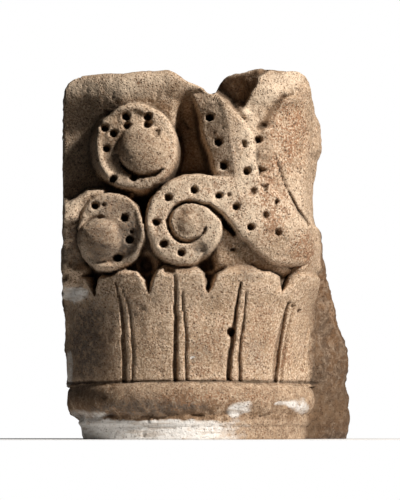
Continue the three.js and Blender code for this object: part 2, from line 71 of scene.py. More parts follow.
def soft_min(a: Array, b: Array, width: float) -> Array:
    """The smaller of two heights, blended where they are within a width of each other."""
    share = np.clip(0.5 + 0.5 * (b - a) / width, 0.0, 1.0)
    return mix(b, a, share) - width * share * (1.0 - share)


def soft_max(a: Array, b: Array, width: float) -> Array:
    """The larger of two heights, blended where they are within a width of each other."""
    return -soft_min(-a, -b, width)


# Outlines on the front. Their x runs from the bell's axis and their z from the bed


@dataclass(frozen=True)
class Ellipse:
    """A round outline, upright or lying."""

    x: float
    z: float
    across: float
    tall: float

    def inside(self, x: Array, z: Array) -> Array:
        """How far each place lies inside the outline.

        Args:
            x: places across the front, in mm.
            z: their heights, in mm.

        Returns:
            The distance to the outline, negative outside it.
        """
        u = (x - self.x) / self.across
        v = (z - self.z) / self.tall
        length = np.hypot(u, v)
        slope = np.maximum(np.hypot(u / self.across, v / self.tall), 1e-9)
        return length * (1.0 - length) / slope


@dataclass(frozen=True)
class Outline:
    """A closed outline through a few points, straight between them or smooth."""

    points: Sequence[tuple[float, float]]
    smooth: bool = False

    def corners(self) -> Array:
        """The outline as a polygon.

        Returns:
            Its points, several to each span where it is smooth.
        """
        given = np.array(self.points, float)
        if not self.smooth:
            return given
        before, after = np.roll(given, 1, 0), np.roll(given, -1, 0)
        later = np.roll(given, -2, 0)
        spans = []
        for share in np.linspace(0.0, 1.0, 7)[:-1]:
            a = -0.5 * share**3 + share**2 - 0.5 * share
            b = 1.5 * share**3 - 2.5 * share**2 + 1.0
            c = -1.5 * share**3 + 2.0 * share**2 + 0.5 * share
            d = 0.5 * share**3 - 0.5 * share**2
            spans.append(a * before + b * given + c * after + d * later)
        return np.stack(spans, axis=1).reshape(-1, 2)

    def inside(self, x: Array, z: Array) -> Array:
        """How far each place lies inside the outline.

        Args:
            x: places across the front, in mm.
            z: their heights, in mm.

        Returns:
            The distance to the outline, negative outside it.
        """
        corners = self.corners()
        best = np.full(x.shape, 1e9)
        within = np.zeros(x.shape, bool)
        for (ax, az), (bx, bz) in zip(corners, np.roll(corners, -1, 0)):
            dx, dz = bx - ax, bz - az
            along = ((x - ax) * dx + (z - az) * dz) / max(dx * dx + dz * dz, 1e-9)
            along = np.clip(along, 0.0, 1.0)
            best = np.minimum(best, (x - ax - along * dx) ** 2 + (z - az - along * dz) ** 2)
            if az != bz:
                crossing = (az > z) != (bz > z)
                within ^= crossing & (x < dx * (z - az) / dz + ax)
        distance = np.sqrt(best)
        return np.where(within, distance, -distance)


@dataclass(frozen=True)
class Channel:
    """A groove along a line of (x, z, width)."""

    line: Sequence[tuple[float, float, float]]

    def inside(self, x: Array, z: Array) -> Array:
        """How far each place lies inside the groove.

        Args:
            x: places across the front, in mm.
            z: their heights, in mm.

        Returns:
            The distance to the groove's edge, negative outside it.
        """
        best = np.full(x.shape, -1e9)
        for (ax, az, wide), (bx, bz, next_wide) in zip(self.line, self.line[1:]):
            dx, dz = bx - ax, bz - az
            along = ((x - ax) * dx + (z - az) * dz) / max(dx * dx + dz * dz, 1e-9)
            along = np.clip(along, 0.0, 1.0)
            away = np.hypot(x - ax - along * dx, z - az - along * dz)
            best = np.maximum(best, mix(wide, next_wide, along) / 2.0 - away)
        return best


Shape = Ellipse | Outline | Channel


def arc_line(
    centre: tuple[float, float],
    turn: tuple[float, float],
    radius: tuple[float, float],
    width: float,
    steps: int = 24,
) -> list[tuple[float, float, float]]:
    """A line that winds about a point and tapers at its ends.

    Args:
        centre: x and z of the point.
        turn: first and last angle, in degrees.
        radius: first and last radius.
        width: width of the groove in its middle.
        steps: number of spans.

    Returns:
        Points of x, z and width for a channel.
    """
    line = []
    for i in range(steps + 1):
        share = i / steps
        angle = math.radians(mix(turn[0], turn[1], share))
        reach = mix(radius[0], radius[1], share)
        taper = min(1.0, 4.0 * share + 0.2, 4.0 * (1.0 - share) + 0.2)
        line.append(
            (centre[0] + reach * math.cos(angle), centre[1] + reach * math.sin(angle), width * taper)
        )
    return line


@dataclass(frozen=True)
class Grain:
    """Seeded smooth noise in space, the same in every run."""

    seed: int
    cells: int = 32

    def at(self, places: Array, size: float) -> Array:
        """Noise from -1 to 1 at each place.

        Args:
            places: points in mm, the last axis being x, y and z.
            size: the size of one lump, in mm.

        Returns:
            One value for each place.
        """
        table = np.random.default_rng(self.seed).random((self.cells,) * 3) * 2.0 - 1.0
        scaled = places / size + self.seed * 0.37
        low = np.floor(scaled).astype(int)
        share = scaled - low
        share = share * share * (3.0 - 2.0 * share)
        x0, y0, z0 = (low[..., i] % self.cells for i in range(3))
        x1, y1, z1 = ((low[..., i] + 1) % self.cells for i in range(3))
        sx, sy, sz = share[..., 0], share[..., 1], share[..., 2]
        front = mix(mix(table[x0, y0, z0], table[x1, y0, z0], sx),
                    mix(table[x0, y1, z0], table[x1, y1, z0], sx), sy)
        back = mix(mix(table[x0, y0, z1], table[x1, y0, z1], sx),
                   mix(table[x0, y1, z1], table[x1, y1, z1], sx), sy)
        return mix(front, back, sz)

    def layered(self, places: Array, size: float, layers: int = 3) -> Array:
        """Noise of several sizes, each half of the last.

        Args:
            places: points in mm.
            size: the size of the largest lump, in mm.
            layers: how many sizes.

        Returns:
            One value for each place, about -1 to 1.
        """
        total = np.zeros(places.shape[:-1])
        for layer in range(layers):
            total += Grain(self.seed + layer).at(places, size / 2**layer) / 2**layer
        return total


@dataclass(frozen=True)
class Lumps:
    """Uneven stone: how far it moves, the size of its lumps in mm, a seed and a count of layers."""

    amount: float
    size: float
    seed: int
    layers: int = 1

    def at(self, places: Array) -> Array:
        """How far the stone moves at each place."""
        return self.amount * Grain(self.seed).layered(places, self.size, self.layers)


# The dressed form


@dataclass(frozen=True)
class Bell:
    """The bell of the capital, half round below and squarer above, about an upright axis."""

    axis_x: float = -17.5
    axis_y: float = 42.0
    radius: float = 122.0
    foot_side: float = 129.0
    tip_z: float = 172.0
    tip_side: float = 133.5
    tip_front: float = 135.0
    tip_squareness: float = 2.4
    shoulder_z: float = 215.0
    side: float = 134.0
    front: float = 146.0
    squareness: float = 3.6
    flare_power: float = 1.6
    shoulder_under: float = 12.0
    drawn_side: float = 131.0

    @property
    def scale(self) -> float:
        """The real side reach over the drawn one."""
        return self.side / self.drawn_side

    def reach(self, angle: Array, z: Array) -> Array:
        """The distance from the axis to the dressed surface.

        Args:
            angle: angles from the front, in radians.
            z: heights in mm.

        Returns:
            Distances in mm.
        """
        flare = np.clip((z - Astragal.z) / (self.tip_z - Astragal.z), 0.0, 1.0)
        flare = flare**self.flare_power
        corner = ease(self.tip_z - self.shoulder_under, self.shoulder_z, z)
        side = mix(mix(self.foot_side, self.tip_side, flare), self.side, corner)
        front = mix(mix(self.radius, self.tip_front, flare), self.front, corner)
        power = mix(mix(2.0, self.tip_squareness, flare), self.squareness, corner)
        across = (np.abs(np.sin(angle)) / side) ** power
        along = (np.abs(np.cos(angle)) / front) ** power
        return (across + along) ** (-1.0 / power)

    def side_at(self, z: Array) -> Array:
        """The reach straight to the side at each height."""
        return self.reach(np.full(np.shape(z), math.pi / 2.0), z)


@dataclass(frozen=True)
class Astragal:
    """The roll under the leaves, its fillet and the low bed band below it."""

    z: float = 40.5
    tube: float = 18.5
    radius: float = 130.0
    cut_left: float = 127.0
    fillet: float = 122.0
    bed: float = 120.0
    cut_heights: Sequence[float] = (0.0, 12.0, 20.0, 26.0)
    bed_cut: Sequence[float] = (109.0, 112.0, 117.0, 126.0)
    bed_top: float = 15.0
    bed_step: float = 1.5
    leaf_foot: float = 53.0

    def reach(self, angle: Array, z: Array) -> Array:
        """The distance from the bell's axis to the roll, fillet and bed.

        Args:
            angle: angles from the front, in radians.
            z: heights in mm.

        Returns:
            Distances in mm; 0 above the roll.
        """
        middle = self.radius - self.tube
        half = np.sqrt(np.maximum(self.tube**2 - (z - self.z) ** 2, 0.0))
        behind = np.abs(np.sin(angle)) * middle
        drop = np.maximum(half**2 - (middle * np.cos(angle)) ** 2, 0.0)
        end = np.where(drop > 0.0, behind + np.sqrt(drop), 0.0)
        in_front = np.cos(angle) >= 0.0
        sine = np.sin(angle)
        roll = np.where(half > 0.0, np.where(in_front, middle + half, end), 0.0)
        band = np.where(z < self.bed_top, self.bed, self.fillet)
        step = ease(self.bed_top - self.bed_step, self.bed_top + self.bed_step, z)
        band = mix(band, self.fillet, step)
        band = np.where(in_front, band, self.bed / np.maximum(sine, TINY))
        broken = np.interp(z, self.cut_heights, self.bed_cut) / np.maximum(-sine, TINY)
        foot = np.where(z < self.leaf_foot, np.minimum(band, broken), 0.0)
        reach = np.maximum(roll, foot)
        limit = self.cut_left / np.maximum(-sine, TINY)
        return np.where(sine < 0.0, np.minimum(reach, limit), reach)


@dataclass(frozen=True)
class Flank:
    """The rough-hewn right flank, wider towards the bed: how far out and back it goes."""

    heights: Sequence[float] = (0, 8, 38, 63, 78, 93, 113, 150, 173, 210, 240)
    out: Sequence[float] = (0.985, 1, 1, 0.985, 1, 0.985, 0.94, 0.885, 0.84, 0.78, 0.74)
    front: Sequence[float] = (92, 88, 84, 80, 84, 82, 78, 70, 64, 58, 50)
    half_width: float = 150.5
    root_in: float = 10.0
    root_y: float = 22.0
    middle_out: float = 0.55
    middle_back: float = 0.42
    edge: tuple[float, float] = (4.0, 16.0)
    back_y: float = 110.0
    back_in: float = 5.0
    tail: float = 38.0
    hewn: float = 2.5
    hewn_turn: float = 0.13

    def reach(self, bell: Bell, angle: Array, z: Array) -> Array:
        """The distance from the bell's axis to the flank.

        Args:
            bell: the bell, for its axis.
            angle: angles from the front, in radians.
            z: heights in mm.

        Returns:
            Distances in mm; 0 where a ray misses the flank.
        """
        root = bell.axis_x + bell.radius - self.root_in
        out = np.interp(z, self.heights, self.out) * self.half_width
        front = np.interp(z, self.heights, self.front)
        hew = self.hewn * np.sin(self.hewn_turn * z + 1.0)
        back = np.full(np.shape(z), self.back_y)
        corners = [
            (np.full(np.shape(z), root), self.root_y + hew),
            (mix(root, out, self.middle_out), mix(self.root_y, front, self.middle_back) + hew),
            (out - self.edge[0], front - self.edge[1]),
            (out, front),
            (out - self.back_in - hew, back),
            (np.full(np.shape(z), root - self.tail), back),
        ]
        best = np.zeros(angle.shape)
        sine, cosine = np.sin(angle), np.cos(angle)
        for (ax, ay), (bx, by) in zip(corners, corners[1:]):
            px, py = ax - bell.axis_x, ay - bell.axis_y
            dx, dy = bx - ax, by - ay
            cross = sine * dy + cosine * dx
            cross = np.where(np.abs(cross) < 1e-6, 1e-6, cross)
            distance = (px * dy - py * dx) / cross
            along = (-py * sine - px * cosine) / cross
            hit = (distance > 0.0) & (along >= -TINY) & (along <= 1.0 + TINY)
            best = np.where(hit, np.maximum(best, distance), best)
        return np.where(z <= self.heights[-1], best, 0.0)


@dataclass(frozen=True)
class Skyline:
    """The broken top edge and the broken upper sides, drawn as the front shows them."""

    top_x: Sequence[float] = (
        -134, -122, -108, -80, -65, -51, -40, -24, -20, -12, -7, 0, 10, 20, 24, 25, 29, 34, 38, 50,
        68, 75, 95, 102, 109, 134,
    )
    top_z: Sequence[float] = (
        361, 364, 365, 366.5, 365.5, 368, 367.5, 369, 368.5, 364, 360, 356, 351.5, 346, 343.5, 349,
        358, 364, 367, 368, 369.5, 369, 368, 369.5, 369.5, 368,
    )
    left_z: Sequence[float] = (310, 318, 333, 350, 358, 362, 366, 371)
    left_x: Sequence[float] = (134, 134, 133, 130, 126, 121, 111, 100)
    right_z: Sequence[float] = (
        200, 207, 214, 220, 228, 248, 266, 278, 288, 294, 300, 308, 325, 331, 338, 350, 359, 366, 370,
    )
    right_x: Sequence[float] = (
        200, 150, 131, 126, 124, 123, 124, 126, 126, 129, 131.5, 132, 131, 128.5, 125, 123, 120.5,
        115, 108,
    )

    def top(self, x: Array) -> Array:
        """The height of the broken top at each place across the front."""
        return np.interp(x, self.top_x, self.top_z)

    def limit(self, angle: Array, z: Array, scale: float) -> Array:
        """How far the stone reaches before a broken side ends it.

        Args:
            angle: angles from the front, in radians.
            z: heights in mm.
            scale: the real side reach over the drawn one.

        Returns:
            Distances from the axis, in mm.
        """
        sine = np.sin(angle)
        left = np.interp(z, self.left_z, self.left_x) * scale
        right = np.interp(z, self.right_z, self.right_x) * scale
        ends = np.where(sine < 0.0, left, right)
        return ends / np.maximum(np.abs(sine), TINY)


# The block as a grid of columns and rows of points


class Mark(Enum):
    """The weights that the finish reads from the mesh."""

    # Grey patina, which on the shaded left side also paints shade
    GREY = "grey"
    LIME = "lime"
    STAIN = "stain"
    ROUGH = "rough"
    # Painted shade: darkens hollows, creases and shaded patches
    HOLLOW_SHADE = "hollow"
    PROUD = "proud"
    HEWN = "hewn"
    # Soil, which in some patches also paints shade
    SOIL_AND_SHADE = "soil"
    PALE = "pale"


@dataclass
class Relief:
    """The dressed surface and the depth that the carver has cut below it.

    The grid's rows go up the stone. Its columns go round the bell's axis from the middle of the
    back, by the left side, the front and the right flank.
    """

    bell: Bell
    angle: Array
    z: Array
    top: Array
    dressed: Array
    depth: Array
    waver_x: Array
    waver_z: Array
    marks: dict[Mark, Array] = field(default_factory=dict)
    straight_to: float = 40.0
    radial_from: float = 58.0
    least_slant: float = 0.15

    @property
    def in_front(self) -> Array:
        """Where the carved front is, as opposed to the sides behind the bell's axis."""
        return np.abs(self.angle) <= math.pi / 2.0

    def outward(self) -> tuple[Array, Array]:
        """The way out of the stone: straight forward on the front, radial at the sides.

        Returns:
            Its shares to the right and forward, at each place of the grid.
        """
        turn = ease(self.straight_to, self.radial_from, np.degrees(np.abs(self.angle)))
        right = np.sin(self.angle) * turn
        forward = mix(1.0, np.cos(self.angle), turn)
        length = np.hypot(right, forward)
        return right / length, forward / length

    def place(self, level: Level) -> tuple[Array, Array]:
        """Where each place of the grid is, at a level below the dressed surface.

        Args:
            level: the depth.

        Returns:
            The distances right and forward of the bell's axis, in mm.
        """
        right, forward = self.outward()
        x = self.dressed * np.sin(self.angle) - level * right
        return x, self.dressed * np.cos(self.angle) - level * forward

    def x_at(self, level: Level) -> Array:
        """Drawn x of each place of the grid, at a level below the dressed surface."""
        return self.place(level)[0] / self.bell.scale

    def inside(self, shape: Shape, level: Level) -> Array:
        """How far each place at a level lies inside a hand-cut outline, which wavers a little."""
        return shape.inside(self.x_at(level) + self.waver_x, self.z + self.waver_z)

    def turned(self, x: float, depth: Level, azimuth: float) -> Array:
        """A flat face through a place on the front, turned to face an azimuth.

        Args:
            x: drawn x of the place.
            depth: its depth below the dressed surface, one value or one for each height.
            azimuth: where the face looks, in degrees from the front.

        Returns:
            The face's level below the dressed surface, at each place of the grid.
        """
        drawn = self.x_at(depth)
        column = np.argmin(np.abs(drawn - x) + 1e3 * ~self.in_front, axis=1)
        rows = np.arange(len(column))
        from_x, from_y = (part[rows, column][:, None] for part in self.place(depth))
        x_now, y_now = self.place(0.0)
        sine, cosine = math.sin(math.radians(azimuth)), math.cos(math.radians(azimuth))
        right, forward = self.outward()
        away = np.maximum(right * sine + forward * cosine, self.least_slant)
        return ((x_now - from_x) * sine + (y_now - from_y) * cosine) / away

    def end_left(self, cut: Level, draw: float) -> None:
        """Ends the stone at a flat left side that draws in towards the front.

        Args:
            cut: its distance from the bell's axis, beside the axis, at each place of the grid.
            draw: how far it draws in for each mm forward.
        """
        x, y = self.place(0.0)
        right, forward = self.outward()
        room = (cut - draw * y + x) / np.maximum(draw * forward - right, TINY)
        ended = soft_max(self.depth, -room, 2.0)
        left = self.in_front & (x < 0.0) & (self.z > Astragal.leaf_foot)
        self.depth = np.where(left, ended, self.depth)

    def raise_to(
        self, shape: Shape, level: Level, edge: float = 1.5, steep: Level = 4.0, blend: float = 0.8
    ) -> None:
        """Leaves stone standing inside an outline, up to a level.

        Args:
            shape: the outline.
            level: depth of its face below the dressed surface.
            edge: how far its worn edge rounds over.
            steep: how steep the wall round it is.
            blend: how softly it meets what stands there already.
        """
        inside = self.inside(shape, level)
        fall = np.clip(1.0 - inside / edge, 0.0, 1.0)
        worn = 0.6 * edge * fall**2
        wall = np.maximum(-inside, 0.0) * steep
        face = level + worn + wall
        self.depth = np.where(self.in_front, soft_min(self.depth, face, blend), self.depth)

    def lower_to(self, shape: Shape, level: float, steep: float = 4.0) -> None:
        """Cuts the stone inside an outline down to a level.

        Args:
            shape: the outline.
            level: depth of the new floor below the dressed surface.
            steep: how steep the wall inside the outline is.
        """
        inside = self.inside(shape, 0.0)
        floor = np.minimum(inside * steep, level)
        cut = np.where(inside > -2.0, soft_max(self.depth, floor, 0.8), self.depth)
        self.depth = np.where(self.in_front, cut, self.depth)

    def cut_by(self, shape: Shape, amount: Level, wall: float = 1.6, level: Level = 0.0) -> None:
        """Cuts the stone inside an outline by an amount below what is there.

        Args:
            shape: the outline.
            amount: how much goes, one value or one for each place.
            wall: how far the wall takes to reach the floor.
            level: the level at which the outline was drawn.
        """
        inside = self.inside(shape, level)
        cut = amount * ease(-0.3 * wall, wall, inside)
        self.depth = np.where(self.in_front, self.depth + cut, self.depth)

    def mark(self, mark: Mark, weight: Array) -> None:
        """Adds a weight to a mark, up to 1, for the finish to read."""
        before = self.marks.get(mark, np.zeros(self.z.shape))
        self.marks[mark] = np.clip(before + weight, 0.0, 1.0)

    def mark_patch(self, mark: Mark, patch: Shape, soft: float, strength: float) -> None:
        """Marks a soft patch on the front, whose edge wavers more than a carved one.

        Args:
            mark: the mark.
            patch: its outline.
            soft: the width over which it fades.
            strength: its weight in the middle.
        """
        inside = patch.inside(self.x_at(0.0) + 3.0 * self.waver_x, self.z + 3.0 * self.waver_z)
        weight = strength * ease(-soft, soft, inside)
        self.mark(mark, np.where(self.in_front, weight, 0.0))


# What is carved


@dataclass(frozen=True)
class Ground:
    """The bell behind the leaves and scrolls, which flares out at the top and at the sides."""

    depth: float = 25.0
    top_depth: float = 3.0
    side_depth: float = 1.0
    flare_foot: float = 306.0
    flare_head: float = 352.0
    side_from: float = 64.0
    side_to: float = 16.0
    foot: tuple[float, float] = (52.0, 60.0)
    recess: Outline = Outline(
        ((-26, 250), (-18, 300), (-16, 340), (-8, 356), (14, 350), (20, 326), (34, 262))
    )
    recess_depth: float = 24.0
    recess_fade: tuple[float, float] = (356.0, 322.0)
    recess_wall: float = 9.0
    pocket: Outline = Outline(
        ((-60, 232), (-54, 250), (-34, 260), (-18, 268), (-14, 250), (-28, 238), (-38, 214),
         (-48, 214))
    )
    pocket_depth: float = 36.0
    pocket_wall: float = 3.0
    cove: Outline = Outline(((-175, 224), (-175, 390), (-84, 390), (-84, 224)))
    cove_x: float = -98.0
    cove_azimuth: float = -20.0

    def carve(self, relief: Relief) -> None:
        """Cuts the ground.

        Args:
            relief: the stone.
        """
        flare = ease(self.flare_foot, self.flare_head, relief.z)
        depth = mix(self.depth, self.top_depth, flare)
        forward = relief.dressed * np.cos(relief.angle)
        depth = mix(depth, self.side_depth, ease(self.side_from, self.side_to, forward))
        relief.depth = np.where(relief.in_front, depth * ease(*self.foot, relief.z), 0.0)
        recess_depth = self.recess_depth * ease(*self.recess_fade, relief.z)
        relief.cut_by(self.recess, recess_depth, self.recess_wall)
        relief.cut_by(self.pocket, self.pocket_depth, self.pocket_wall)
        cove_level = relief.turned(self.cove_x, depth, self.cove_azimuth)
        relief.raise_to(self.cove, cove_level, edge=6.0, steep=1.2, blend=6.0)


@dataclass(frozen=True)
class Leaves:
    """The row of upright leaves: each top is an arch between two notches, and rolls over."""

    tops: Sequence[tuple[float, float]] = (
        (-160, 157), (-122, 157), (-112, 161), (-107, 166), (-102, 163), (-98, 153), (-94, 145),
        (-91, 158), (-85, 166), (-76, 169.5), (-62, 170.5), (-52, 168), (-46, 159), (-43, 150),
        (-40, 146), (-37, 157), (-32, 169), (-25, 174), (-10, 173.5), (5, 173), (12, 167),
        (15, 157), (17, 147), (21, 152), (26, 163), (36, 171), (48, 174), (61, 174), (70, 168),
        (78, 167.5), (85, 163), (88, 154), (89, 146), (94, 151), (101, 159), (110, 168), (116, 175),
        (130, 178), (160, 178),
    )
    foot: float = 53.0
    depth: float = 4.0
    lip_out: float = 6.5
    lean: tuple[float, float] = (128.0, 160.0)
    roll: tuple[float, float] = (164.0, 176.0)
    roll_back: float = 2.2
    run_on: Outline = Outline(((106, 150), (112, 176), (116, 200), (150, 200), (150, 150)))
    gap: Outline = Outline(
        ((84, 147), (85, 156), (90, 165), (100, 176), (114, 184), (118, 178), (108, 165), (98, 153))
    )
    gap_depth: float = 24.0
    dent: Ellipse = Ellipse(-20, 167, 7, 4.5)
    dent_depth: float = 7.0

    def outline(self) -> Outline:
        """The whole row's outline, from the astragal up to the leaf tips."""
        return Outline(((-160.0, self.foot), *self.tops, (160.0, self.foot)))

    def depth_at(self, z: Array) -> Array:
        """Depth of the leaves' face: they lean forward near the tips and roll over.

        Args:
            z: heights in mm.

        Returns:
            Depths below the dressed surface, in mm.
        """
        out = ease(*self.lean, z)
        over = ease(*self.roll, z)
        return self.depth - self.lip_out * out + self.roll_back * self.lip_out * over

    def carve(self, relief: Relief) -> None:
        """Leaves the leaves standing.

        Args:
            relief: the stone.
        """
        relief.raise_to(self.outline(), self.depth_at(relief.z), edge=2.2, steep=9.0)
        relief.raise_to(self.run_on, 1.0, edge=4.0, steep=3.0, blend=4.0)
        relief.lower_to(self.gap, self.gap_depth, steep=2.6)
        relief.cut_by(self.dent, self.dent_depth, wall=3.0)


@dataclass(frozen=True)
class Rib:
    """A leaf's midrib between two grooves that fan out upwards."""

    left: float
    right: float
    top_left: float
    top_right: float
    top: float
    bend: float
    cut: float
    width: float = 5.0
    foot_z: float = 54.0
    face_depth: float = 4.0
    lit_share: float = 0.6
    lit_drop: float = 3.0
    steps: int = 12

    def line(self, foot: float, head: float, top: float, width: float) -> Channel:
        """One groove's line, from the astragal up.

        Args:
            foot: its x at the astragal.
            head: its x at the top.
            top: height of the top.
            width: its width.

        Returns:
            The groove.
        """
        points = []
        for step in range(self.steps + 1):
            share = step / self.steps
            x = mix(foot, head, share**self.bend)
            taper = 1.0 - 0.6 * share**3
            points.append((x, mix(self.foot_z, top, share), width * taper))
        return Channel(points)

    def carve(self, relief: Relief) -> None:
        """Cuts the two grooves.

        Args:
            relief: the stone.
        """
        shaded = self.line(self.left, self.top_left, self.top, self.width)
        lit_top, lit_width = self.top - self.lit_drop, self.width * self.lit_share
        lit = self.line(self.right, self.top_right, lit_top, lit_width)
        relief.cut_by(shaded, self.cut, wall=1.3, level=self.face_depth)
        lit_cut = self.cut * self.lit_share
        relief.cut_by(lit, lit_cut, wall=1.2, level=self.face_depth)


# The x of the two grooves at the astragal and at the top, the top's height, the bend and the cut
RIBS = (
    Rib(-65, -56, -73, -67, 157, 4.0, 7.0),
    Rib(-14.5, -3.5, -14, -8, 162, 1.5, 8.0),
    Rib(38.5, 48, 50, 57, 156, 2.0, 9.0, 5.6),
    Rib(84.0, 91, 98, 103, 138, 2.0, 8.0, 6.5),
    Rib(113, 117.5, 119, 122.5, 116, 2.0, 5.0, 4.4),
)


@dataclass(frozen=True)
class LeafFeet:
    """The leaves' feet behind the roll, whose top is left whole, and the seam between them."""

    astragal: Astragal = Astragal()
    seam_z: float = 58.0
    seam_depth: float = 1.6
    seam_shade: float = 0.7
    least_slant: float = 0.3

    def carve(self, relief: Relief) -> None:
        """Leaves the roll standing in front of the leaves.

        Args:
            relief: the stone.
        """
        roll = self.astragal.reach(relief.angle, relief.z)
        right, forward = relief.outward()
        slant = right * np.sin(relief.angle) + forward * np.cos(relief.angle)
        behind = (relief.dressed - roll) / np.maximum(slant, self.least_slant)
        seam = ease(2.2, 0.4, np.abs(relief.z - self.seam_z))
        deeper = relief.depth + self.seam_depth * seam * relief.in_front
        met = relief.in_front & (roll > 0.0) & (relief.z > self.astragal.z)
        relief.depth = np.where(met, np.minimum(deeper, behind), deeper)
        # Painted shade along the seam between the roll and the leaves
        relief.mark(Mark.HOLLOW_SHADE, self.seam_shade * seam * relief.in_front)


@dataclass(frozen=True)
class Boss:
    """The round end of a scroll, a low dome."""

    x: float
    z: float
    radius: float
    out: float
    fullness: float = 0.62
    steep: float = 4.0

    def carve(self, relief: Relief, seat: Level) -> None:
        """Leaves the dome standing.

        Args:
            relief: the stone.
            seat: depth of its foot below the dressed surface.
        """
        x = relief.x_at(seat)
        share = np.hypot(x - self.x, relief.z - self.z) / self.radius
        dome = seat - self.out * np.maximum(1.0 - share**2, 0.0) ** self.fullness
        beyond = np.maximum(share - 1.0, 0.0) * self.radius * self.steep
        standing = soft_min(relief.depth, dome + beyond, 1.0)
        relief.depth = np.where(relief.in_front, standing, relief.depth)


@dataclass(frozen=True)
class Scroll:
    """A scroll's round face: a rim, a drilled band a step lower, and a boss."""

    face: Ellipse
    level: float
    band: Ellipse
    band_step: float
    boss: Boss
    azimuth: float | None = None
    grooves: Sequence[Channel] = ()
    groove_depth: float = 9.0
    pivot: float = 26.0
    steep: float = 12.0
    side_steep: float = 3.0
    side: tuple[float, float] = (-66.0, -92.0)

    def carve(self, relief: Relief) -> None:
        """Carves the scroll.

        Args:
            relief: the stone.
        """
        if self.azimuth is None:
            face = self.level
            steep = mix(self.steep, self.side_steep, ease(*self.side, relief.x_at(0.0)))
        else:
            face = relief.turned(self.boss.x + self.pivot, self.level, self.azimuth)
            steep = self.steep
        relief.raise_to(self.face, face, edge=4.5, steep=steep)
        relief.cut_by(self.band, self.band_step, wall=5.0, level=face)
        self.boss.carve(relief, face + self.band_step)
        for groove in self.grooves:
            relief.cut_by(groove, self.groove_depth, wall=1.8, level=face)


UPPER_SCROLL = Scroll(
    face=Ellipse(-53.5, 291.5, 39.5, 43.5),
    level=1.0,
    band=Ellipse(-59.0, 293.0, 31.0, 36.0),
    band_step=4.0,
    boss=Boss(-44.0, 289.0, 26.5, 14.0),
    grooves=(Channel(arc_line((-44.0, 289.5), (205, 312), (28.0, 27.5), 5.0)),),
)
LOWER_SCROLL = Scroll(
    face=Ellipse(-77.5, 207.0, 33.0, 38.5),
    level=0.0,
    band=Ellipse(-81.0, 211.0, 34.5, 38.0),
    band_step=4.5,
    boss=Boss(-88.0, 199.0, 21.5, 13.0),
    azimuth=-9.0,
    grooves=(
        Channel(arc_line((-88.0, 199.0), (-28, -70), (26.0, 24.5), 5.0)),
        Channel(arc_line((-88.0, 199.0), (60, 215), (22.5, 21.5), 4.0)),
    ),
    groove_depth=3.0,
)


@dataclass(frozen=True)
class Whorl:
    """The middle scroll, with one spiral channel that runs in from the stem's lower edge."""

    face: Ellipse = Ellipse(-6.0, 216.0, 36.3, 43.0)
    boss: Boss = Boss(-2.0, 215.0, 18.8, 12.5)
    boss_seat: float = 9.0
    run_in: Sequence[tuple[float, float, float]] = (
        (43, 205, 5), (36, 213, 7.5), (28, 223.5, 6.5), (18, 232, 5.2),
    )
    turn: tuple[float, float] = (58, 342)
    reach: tuple[float, float] = (22.0, 17.0)
    width: float = 5.0
    least_width: float = 3.0
    channel_depth: float = 14.0
    dent: Ellipse = Ellipse(9, 188, 8.5, 6.5)
    dent_depth: float = 3.0

    def channel(self) -> Channel:
        """The channel, from the stem's edge round the boss.

        Returns:
            One groove, the run in and the spiral joined.
        """
        spiral = arc_line((self.boss.x, self.boss.z), self.turn, self.reach, self.width)
        wound = [(x, z, max(width, self.least_width)) for x, z, width in spiral]
        return Channel([*self.run_in, *wound])

    def carve(self, relief: Relief) -> None:
        """Carves the whorl.

        Args:
            relief: the stone.
        """
        relief.raise_to(self.face, 0.0, edge=3.4, steep=12.0)
        relief.cut_by(self.channel(), self.channel_depth, wall=2.0)
        relief.cut_by(self.dent, self.dent_depth, wall=5.0)
        self.boss.carve(relief, self.boss_seat)


@dataclass(frozen=True)
class Stem:
    """The stem that feeds the whorl, the shelf below it and the broken corner beside it."""

    shelf: Outline = Outline(((20, 214), (52, 206), (84, 184), (100, 170), (60, 168), (28, 172)))
    shelf_depth: float = 13.0
    corner: Outline = Outline(
        ((22, 330), (30, 380), (150, 380), (150, 168), (104, 176), (66, 200), (50, 250), (52, 290),
         (40, 318))
    )
    corner_depth: float = 8.0
    side_depth: float = 1.0
    side: tuple[float, float] = (62.0, 74.0)
    stem: Outline = Outline(
        ((-25, 251), (-10, 260), (8, 264), (26, 262), (46, 262), (66, 262), (84, 250), (106, 226),
         (124, 205), (126, 182), (104, 175), (82, 177), (66, 187), (49, 203), (35, 219), (18, 235),
         (2, 238), (-16, 234)),
        smooth=True,
    )
    stem_depth: float = 1.0

    def carve(self, relief: Relief) -> None:
        """Leaves them standing.

        Args:
            relief: the stone.
        """
        to_side = ease(*self.side, np.degrees(relief.angle))
        corner_level = mix(self.corner_depth, self.side_depth, to_side)
        relief.raise_to(self.shelf, self.shelf_depth, edge=3.0, steep=2.0)
        relief.raise_to(self.corner, corner_level, edge=5.0, steep=9.0, blend=9.0)
        relief.raise_to(self.stem, self.stem_depth, edge=4.0, steep=9.0)


